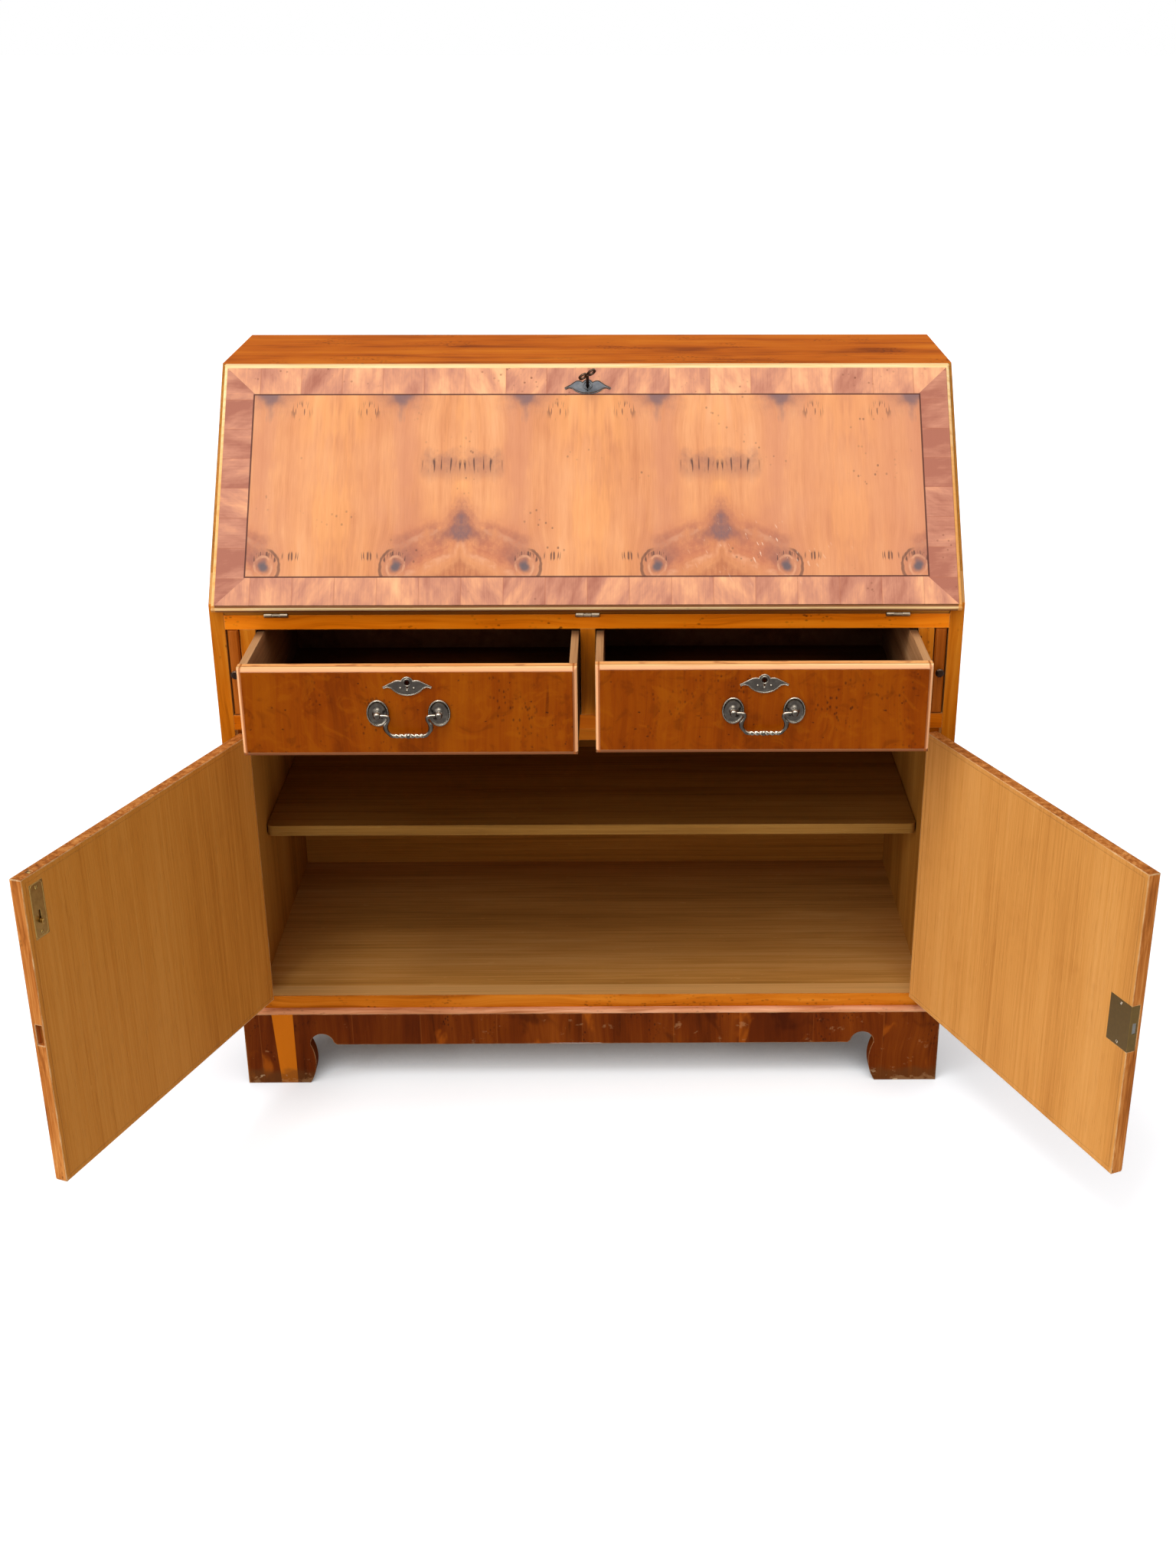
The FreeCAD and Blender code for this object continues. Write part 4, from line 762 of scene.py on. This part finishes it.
class Form:
    """Points and faces of one piece, gathered as skins over rings of points."""

    def __init__(self):
        self.points = []
        self.faces = []

    def skin(self, rings, place, looped=False):
        """Adds a skin over rings, moved to a place: closed in a loop, or with a flat end on both sides."""
        first, count = len(self.points), len(rings[0])
        for ring in rings:
            self.points += [place @ Vector(point) for point in ring]
        turns = len(rings) if looped else len(rings) - 1
        for r in range(turns):
            low, high = first + r * count, first + (r + 1) % len(rings) * count
            for i in range(count):
                j = (i + 1) % count
                self.faces.append((low + i, low + j, high + j, high + i))
        if not looped:
            last = first + (len(rings) - 1) * count
            self.faces += [tuple(range(first + count - 1, first - 1, -1)), tuple(range(last, last + count))]

    def piece(self, name, material, body, slot, *stands_for):
        """Makes the piece, riding on a body; it may stand for pieces of the source."""
        mesh = bpy.data.meshes.new(name)
        mesh.from_pydata(self.points, [], self.faces)
        mesh.shade_smooth()
        mesh.materials.append(material)
        made = bpy.data.objects.new(name, mesh)
        bpy.context.scene.collection.objects.link(made)
        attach(made, body)
        if stands_for:
            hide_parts(*stands_for)


def circle(radius, level, sides=48, stretch=1.0):
    """Points of a ring in the XY plane, at a level."""
    angles = [2 * math.pi * i / sides for i in range(sides)]
    return [(radius * math.cos(a), radius * stretch * math.sin(a), level) for a in angles]


def lathe(profile, sides=48, stretch=1.0):
    """Rings of a turned form from (radius, height) pairs in millimetres."""
    return [circle(radius * MM, level * MM, sides, stretch) for radius, level in profile]


def beside(line, i):
    """Unit vector to the right of a closed line in the XY plane, at one of its points."""
    ahead, behind = line[(i + 1) % len(line)], line[i - 1]
    way = Vector((ahead[0] - behind[0], ahead[1] - behind[1], 0)).normalized()
    return Vector((way.y, -way.x, 0))


def tube(line, radius, sides=12):
    """Rings of a thin tube round a closed line in the XY plane, in millimetres."""
    rings, angles = [], [2 * math.pi * k / sides for k in range(sides)]
    for i, point in enumerate(line):
        side, middle = beside(line, i), Vector(point)
        rings.append([(middle + side * (radius * math.cos(a)) + Vector((0, 0, radius * math.sin(a)))) * MM
                      for a in angles])
    return rings


def upright(x, y, z):
    """Place of a piece drawn face up, stood to face the front at a point."""
    return Matrix.Translation((x, y, z)) @ Matrix.Rotation(math.pi / 2, 4, "X")


# Profiles of the handles' turned parts: radius and height in mm, the rosette's radius as a share of its half
PLATE = ((0.985, 0.0), (1.0, 0.6), (0.997, 1.8), (0.97, 2.8), (0.93, 3.15), (0.885, 2.8), (0.85, 2.0),
         (0.79, 1.35), (0.68, 1.15), (0.54, 1.4), (0.42, 2.1), (0.33, 3.2), (0.25, 4.3), (0.12, 4.8))
POST = ((3.2, 3.5), (2.8, 6.2), (3.3, 7.2), (4.2, 8.4), (4.75, 10.0), (4.8, 11.5), (4.6, 13.0), (3.8, 14.6),
        (2.4, 15.6), (0.5, 16.0))
PLATE_HALF, PLATE_STRETCH = 14.25, 36.0 / 28.5
COLLAR = ((2.4, -2.4), (3.2, -1.9), (3.6, -0.9), (3.6, 0.9), (3.2, 1.9), (2.4, 2.4))
SMALL_COLLAR = ((2.3, -1.0), (2.9, -0.6), (2.9, 0.6), (2.3, 1.0))
BAIL_DROP, SMALL_COLLAR_AT = 27.0, 18.5
# Half of the bail from its pin to the middle of its bar: across, down, thickness
BAIL_LINE = ((38.6, 0.0, 1.8), (34.0, 0.1, 1.9), (29.4, -0.1, 2.1), (25.6, -1.4, 2.5), (24.4, -4.8, 2.2),
             (26.2, -8.8, 2.2), (28.4, -12.8, 3.2), (28.4, -17.8, 3.1), (25.6, -22.8, 2.2),
             (21.6, -26.4, 2.5), (16.0, -BAIL_DROP, 2.4), (8.0, -BAIL_DROP, 2.5), (0.0, -BAIL_DROP, 2.5))
# The rope twist of the bar: half its length, the length of a turn, how it fades out and how deep it is
ROPE_HALF, ROPE_TURN, ROPE_FADE, ROPE_DEPTH = 19.0, 6.5, 3.0, 0.24


def smooth_line(points, steps):
    """Points along a smooth curve through the given ones."""
    line = []
    for i in range(len(points) - 1):
        p = [Vector(points[max(0, min(len(points) - 1, i + k))]) for k in (-1, 0, 1, 2)]
        for step in range(steps):
            t = step / steps
            line.append(0.5 * (2 * p[1] + (p[2] - p[0]) * t + (2 * p[0] - 5 * p[1] + 4 * p[2] - p[3]) * t ** 2
                               + (3 * p[1] - p[0] - 3 * p[2] + p[3]) * t ** 3))
    return line + [Vector(points[-1])]


def bail_rings(sides=18):
    """Rings along a swan-neck bail: plain arms, swelling bends and a twisted lower bar."""
    far_half = [(-x, z, r) for x, z, r in reversed(BAIL_LINE[:-1])]
    line = smooth_line(list(BAIL_LINE) + far_half, 14)
    rings = []
    for i, (x, z, radius) in enumerate(line):
        ahead, behind = line[min(i + 1, len(line) - 1)], line[max(i - 1, 0)]
        way = Vector((ahead[0] - behind[0], 0, ahead[1] - behind[1])).normalized()
        side = Vector((-way.z, 0, way.x))
        on_bar = z < 1.0 - BAIL_DROP
        twist = min(1.0, max(0.0, (ROPE_HALF - abs(x)) / ROPE_FADE)) * ROPE_DEPTH if on_bar else 0.0
        ring = []
        for k in range(sides):
            a = 2 * math.pi * k / sides
            r = radius * (1 + twist * math.cos(3 * a - 2 * math.pi * x / ROPE_TURN))
            ring.append((Vector((x, 0, z)) + side * (r * math.cos(a)) + Vector((0, r * math.sin(a), 0))) * MM)
        rings.append(ring)
    return rings


def hang_handles():
    """Dished rosettes with posts, and swan-neck bails, in place of the source's plainer ones."""
    along = Matrix.Rotation(math.pi / 2, 4, "Y")
    plate = [(share * PLATE_HALF, level) for share, level in PLATE]
    for name, (centre, pull) in DRAWERS.items():
        posts = Form()
        for offset in (-POST_OFFSET, POST_OFFSET):
            place = upright(centre + offset, -pull, HANDLE_LEVEL)
            posts.skin(lathe(plate, 64, PLATE_STRETCH), place)
            posts.skin(lathe(POST, 32), place)
        posts.piece("handle_plates_" + name, bronze, "drawer_" + name, "bronze",
                    "drawer_%s_handle_posts" % name)

        bail = Form()
        axis = Matrix.Translation((centre, -pull - PIVOT_REACH, HANDLE_LEVEL))
        bail.skin(bail_rings(), axis)
        for x, profile in ((0.0, COLLAR), (-SMALL_COLLAR_AT, SMALL_COLLAR), (SMALL_COLLAR_AT, SMALL_COLLAR)):
            bail.skin(lathe(profile, 24), axis @ Matrix.Translation((x * MM, 0, -BAIL_DROP * MM)) @ along)
        body = "drawer_%s_bail" % name
        bail.piece("swan_neck_bail_" + name, bronze, body, "bronze", body)


# Right halves of the keyhole plates' outlines, from the top round the wing to the lowest point, in mm
FALL_WING = ((0.0, 9.4), (2.2, 9.1), (4.2, 8.2), (5.8, 6.9), (6.8, 5.2), (9.0, 6.7), (11.2, 7.4),
             (13.8, 7.6), (16.2, 7.0), (20.0, 4.1), (23.8, 1.2), (27.8, -1.1), (31.8, -3.4), (30.2, -6.0),
             (25.6, -3.8), (21.0, -4.8), (17.2, -7.6), (12.2, -10.0), (6.2, -11.7), (0.0, -12.2))
DRAWER_WING = ((0.0, 7.8), (2.6, 7.4), (4.9, 6.1), (6.5, 4.4), (7.4, 2.6), (9.5, 3.1), (11.6, 3.2),
               (14.0, 2.9), (16.2, 2.2), (20.0, 0.2), (23.6, -1.6), (27.4, -3.6), (31.2, -5.6), (29.8, -8.2),
               (25.4, -6.6), (20.8, -7.6), (16.8, -11.5), (12.4, -14.4), (6.4, -16.8), (0.0, -17.6))
PLATE_FACE, RIM_INSET, RIM_RISE, RIM_RADIUS, RING_RISE = 1.0, 0.8, 0.25, 0.62, 0.3
BOSSES = ((-8.4, -7.6), (0.0, -10.6), (8.4, -7.6))
BOSS = ((1.9, 1.0), (1.8, 1.5), (1.4, 2.1), (0.7, 2.5), (0.1, 2.6))


def relief_of_plate(name, place, wing, body, metals=(bronze, bronze), bosses=(), ring_radius=4.6, scale=1.0):
    """Raised rim and ring, each of its own metal, and small bosses on a keyhole plate."""
    thin = scale ** 1.5
    right = [(x * scale, y * scale) for x, y in wing]
    outline = right + [(-x, y) for x, y in reversed(right[1:-1])]
    inset, rim = RIM_INSET * scale, []
    for i, (x, y) in enumerate(outline):
        side = beside(outline, i)
        rim.append((x + side.x * inset, y + side.y * inset, PLATE_FACE + RIM_RISE * thin))
    form = Form()
    form.skin(tube(rim, RIM_RADIUS * thin), place, looped=True)
    for x, y in bosses:
        form.skin(lathe(BOSS, 20), place @ Matrix.Translation((x * MM, y * MM, 0)))
    form.piece(name + "_rim", metals[0], body, "bronze")
    ring = Form()
    line = circle(ring_radius, PLATE_FACE + RING_RISE * scale)
    ring.skin(tube(line, thin), place, looped=True)
    ring.piece(name + "_ring", metals[1], body, "bronze")


def door_place(side):
    """Takes a place on a shut door to where the door stands open."""
    hinge = Matrix.Translation((side * DOOR_HINGE_X, DOOR_HINGE_Y, 0))
    return hinge @ Matrix.Rotation(DOOR_OPEN[side], 4, "Z") @ hinge.inverted()


def raise_keyholes():
    """Relief on the keyhole plates of the drawers, the fall and the right door."""
    for name, (centre, pull) in DRAWERS.items():
        place = upright(centre, -pull, KEYHOLE_LEVEL)
        relief_of_plate("keyhole_relief_" + name, place, DRAWER_WING, "drawer_" + name, bosses=BOSSES)
    fall_lock = (Matrix.Translation((0, 0, WRITING_LEVEL)) @ Matrix.Rotation(SLOPE, 4, "X")
                 @ Matrix.Translation((0, KEY_LEVEL, FALL_THICKNESS)))
    relief_of_plate("keyhole_relief_fall", fall_lock, FALL_WING, "fall", (iron, pewter), ring_radius=5.8)
    door_lock = door_place(1) @ upright(DOOR_LOCK_X, 0.0, DOOR_LOCK_LEVEL)
    relief_of_plate("keyhole_relief_door", door_lock, DRAWER_WING, "door_right", ring_radius=4.0,
                    scale=DOOR_PLATE_SCALE)


# Profile of a screw head: share of its radius and height in mm. Each half leaves room for the slot
SCREW = ((1.0, 0.0), (1.0, 0.2), (0.86, 0.35))
HALF_START, HALF_SWEEP, HALF_STEPS = 0.09 * math.pi, 0.82 * math.pi, 12
BEAD_LEVEL, BEAD_RADIUS, CORNER_STEPS = -0.25, 0.6, 6


def drive_screws(name, places, radius, material, body, turn):
    """Slotted screw heads, each made of two halves beside the slot."""
    form = Form()
    for count, place in enumerate(places):
        for half in (0, math.pi):
            spun = place @ Matrix.Rotation(turn * (count + 1) + half, 4, "Z")
            rings = []
            for share, level in SCREW:
                arc = [HALF_START + HALF_SWEEP * i / HALF_STEPS for i in range(HALF_STEPS + 1)]
                reach = radius * share * MM
                rings.append([(reach * math.cos(a), reach * math.sin(a), level * MM) for a in arc])
            form.skin(rings, spun)
    form.piece(name, material, body, "brass")


def frame_of_plate(name, place, half_wide, half_high, corner, material, body):
    """A raised bead round a plate with rounded corners."""
    line = []
    for x, y, start in ((1, 1, 0), (-1, 1, 90), (-1, -1, 180), (1, -1, 270)):
        for step in range(CORNER_STEPS + 1):
            a = math.radians(start + 90 * step / CORNER_STEPS)
            line.append((x * (half_wide - corner) + corner * math.cos(a),
                         y * (half_high - corner) + corner * math.sin(a), BEAD_LEVEL))
    form = Form()
    form.skin(tube(line[::-1], BEAD_RADIUS), place, looped=True)
    form.piece(name, material, body, "brass")


def fix_plates():
    """Screws and bead on the left door's bolt plate, screws on the right door's lock."""
    inward = Matrix.Rotation(-math.pi / 2, 4, "X")

    def on_door(side, x, z):
        return door_place(side) @ Matrix.Translation((x, DOOR_THICKNESS, z)) @ inward

    screws = [on_door(-1, BOLT_PLATE_X, level) for level in BOLT_SCREW_LEVELS]
    drive_screws("bolt_plate_screws", screws, 2.4, brass, "door_left", turn=0.8)
    middle = on_door(-1, BOLT_PLATE_X, BOLT_PLATE_LEVEL)
    frame_of_plate("bolt_plate_bead", middle, 10.8, 33.8, 5.0, brass, "door_left")
    screws = [on_door(1, LOCK_SCREW_X, DOOR_LOCK_LEVEL + sign * LOCK_SCREW_RISE) for sign in (-1, 1)]
    drive_screws("lock_plate_screws", screws, 2.2, hinge_brass, "door_right", turn=1.3)


hang_handles()
raise_keyholes()
fix_plates()


def place_camera():
    """The fitted camera of the photograph."""
    data = bpy.data.cameras.new("camera")
    data.sensor_width = SENSOR
    data.lens = FOCAL * SENSOR / PICTURE_HIGH
    data.shift_x = -AXIS_RIGHT / PICTURE_HIGH
    data.shift_y = AXIS_DOWN / PICTURE_HIGH
    camera = bpy.data.objects.new("camera", data)
    turn = Matrix.Rotation(-CAMERA_YAW, 4, "Z") @ Matrix.Rotation(math.pi / 2 - CAMERA_PITCH, 4, "X")
    camera.matrix_world = Matrix.Translation(CAMERA_PLACE) @ turn @ Matrix.Rotation(CAMERA_ROLL, 4, "Z")
    bpy.context.scene.collection.objects.link(camera)
    bpy.context.scene.camera = camera


# Lamps: name, direction towards it, spread in degrees, strength
LAMPS = (("overhead", (-0.15, -0.50, 0.853), 60, 0.50), ("glint", (-0.30, -0.42, 0.857), 14, 0.18),
         ("left_fill", (-0.85, -0.45, 0.27), 40, 0.34))
ROOM_LIGHT, ROOM_SEEN = 0.36, 1.0
WHITE = (1.0, 1.0, 1.0, 1.0)
# Floor colour in the open, and the colour of its painted shadow
FLOOR_PALE, FLOOR_PAINTED_SHADOW = (0.92, 0.945, 0.97, 1.0), (0.36, 0.39, 0.42, 1.0)
FLOOR_GLOW, FLOOR_REACH = 0.34, 40.0


def soft_light(name, towards, spread, strength):
    """An even broad light from one direction; a strength of 1 shows a facing surface in its own colour."""
    data = bpy.data.lights.new(name, "SUN")
    data.energy = strength * math.pi
    data.angle = math.radians(spread)
    lamp = bpy.data.objects.new(name, data)
    lamp.rotation_euler = (-Vector(towards)).to_track_quat("-Z", "Y").to_euler()
    bpy.context.scene.collection.objects.link(lamp)


def seen_directly(tree):
    """1 for rays from the camera and for mirror and clear rays, 0 for rays that only carry light."""
    path = tree.nodes.new("ShaderNodeLightPath")
    total = path.outputs["Is Camera Ray"]
    for name in ("Is Glossy Ray", "Is Transmission Ray"):
        larger = tree.nodes.new("ShaderNodeMath")
        larger.operation = "MAXIMUM"
        tree.links.new(total, larger.inputs[0])
        tree.links.new(path.outputs[name], larger.inputs[1])
        total = larger.outputs[0]
    return total


def light_studio():
    """White all round as the camera sees it, a softer light for the rest, and the lamps."""
    world = bpy.data.worlds.new("studio")
    bpy.context.scene.world = world
    world.use_nodes = True
    tree = world.node_tree
    background = tree.nodes["Background"]
    background.inputs["Color"].default_value = WHITE
    strength = tree.nodes.new("ShaderNodeMapRange")
    strength.inputs["To Min"].default_value = ROOM_LIGHT
    strength.inputs["To Max"].default_value = ROOM_SEEN
    tree.links.new(seen_directly(tree), strength.inputs["Value"])
    tree.links.new(strength.outputs[0], background.inputs["Strength"])
    for lamp in LAMPS:
        soft_light(*lamp)


def lay_floor():
    """A pale floor with the lamps' soft shadow round the bureau and a painted shadow in its hollows, where
    its colour darkens and its glow fades. In the open it glows as white as the room.
    """
    mesh = bpy.data.meshes.new("floor")
    signs = ((-1, -1), (1, -1), (1, 1), (-1, 1))
    mesh.from_pydata([(x * FLOOR_REACH, y * FLOOR_REACH, 0) for x, y in signs], [], [(0, 1, 2, 3)])
    floor = bpy.data.objects.new("floor", mesh)
    bpy.context.scene.collection.objects.link(floor)
    shade = Shade("pale_floor")
    # Painted shadow: darker colour, and less glow, where the floor is shut in by the bureau
    tone = shade.blend(shade.hollow(0.14), FLOOR_PALE, FLOOR_PAINTED_SHADOW)
    glow = shade.step(shade.hollow(0.3), 0.90, 0.70) * FLOOR_GLOW
    shade.feed(shade.surface.inputs["Emission Strength"], glow * Number(shade, seen_directly(shade.tree)))
    mesh.materials.append(shade.finish(tone, 0.9, Specular_IOR_Level=0.0, Emission_Color=WHITE))


place_camera()
light_studio()
lay_floor()

bpy.context.scene.view_settings.view_transform = "Standard"
bpy.context.view_layer.update()
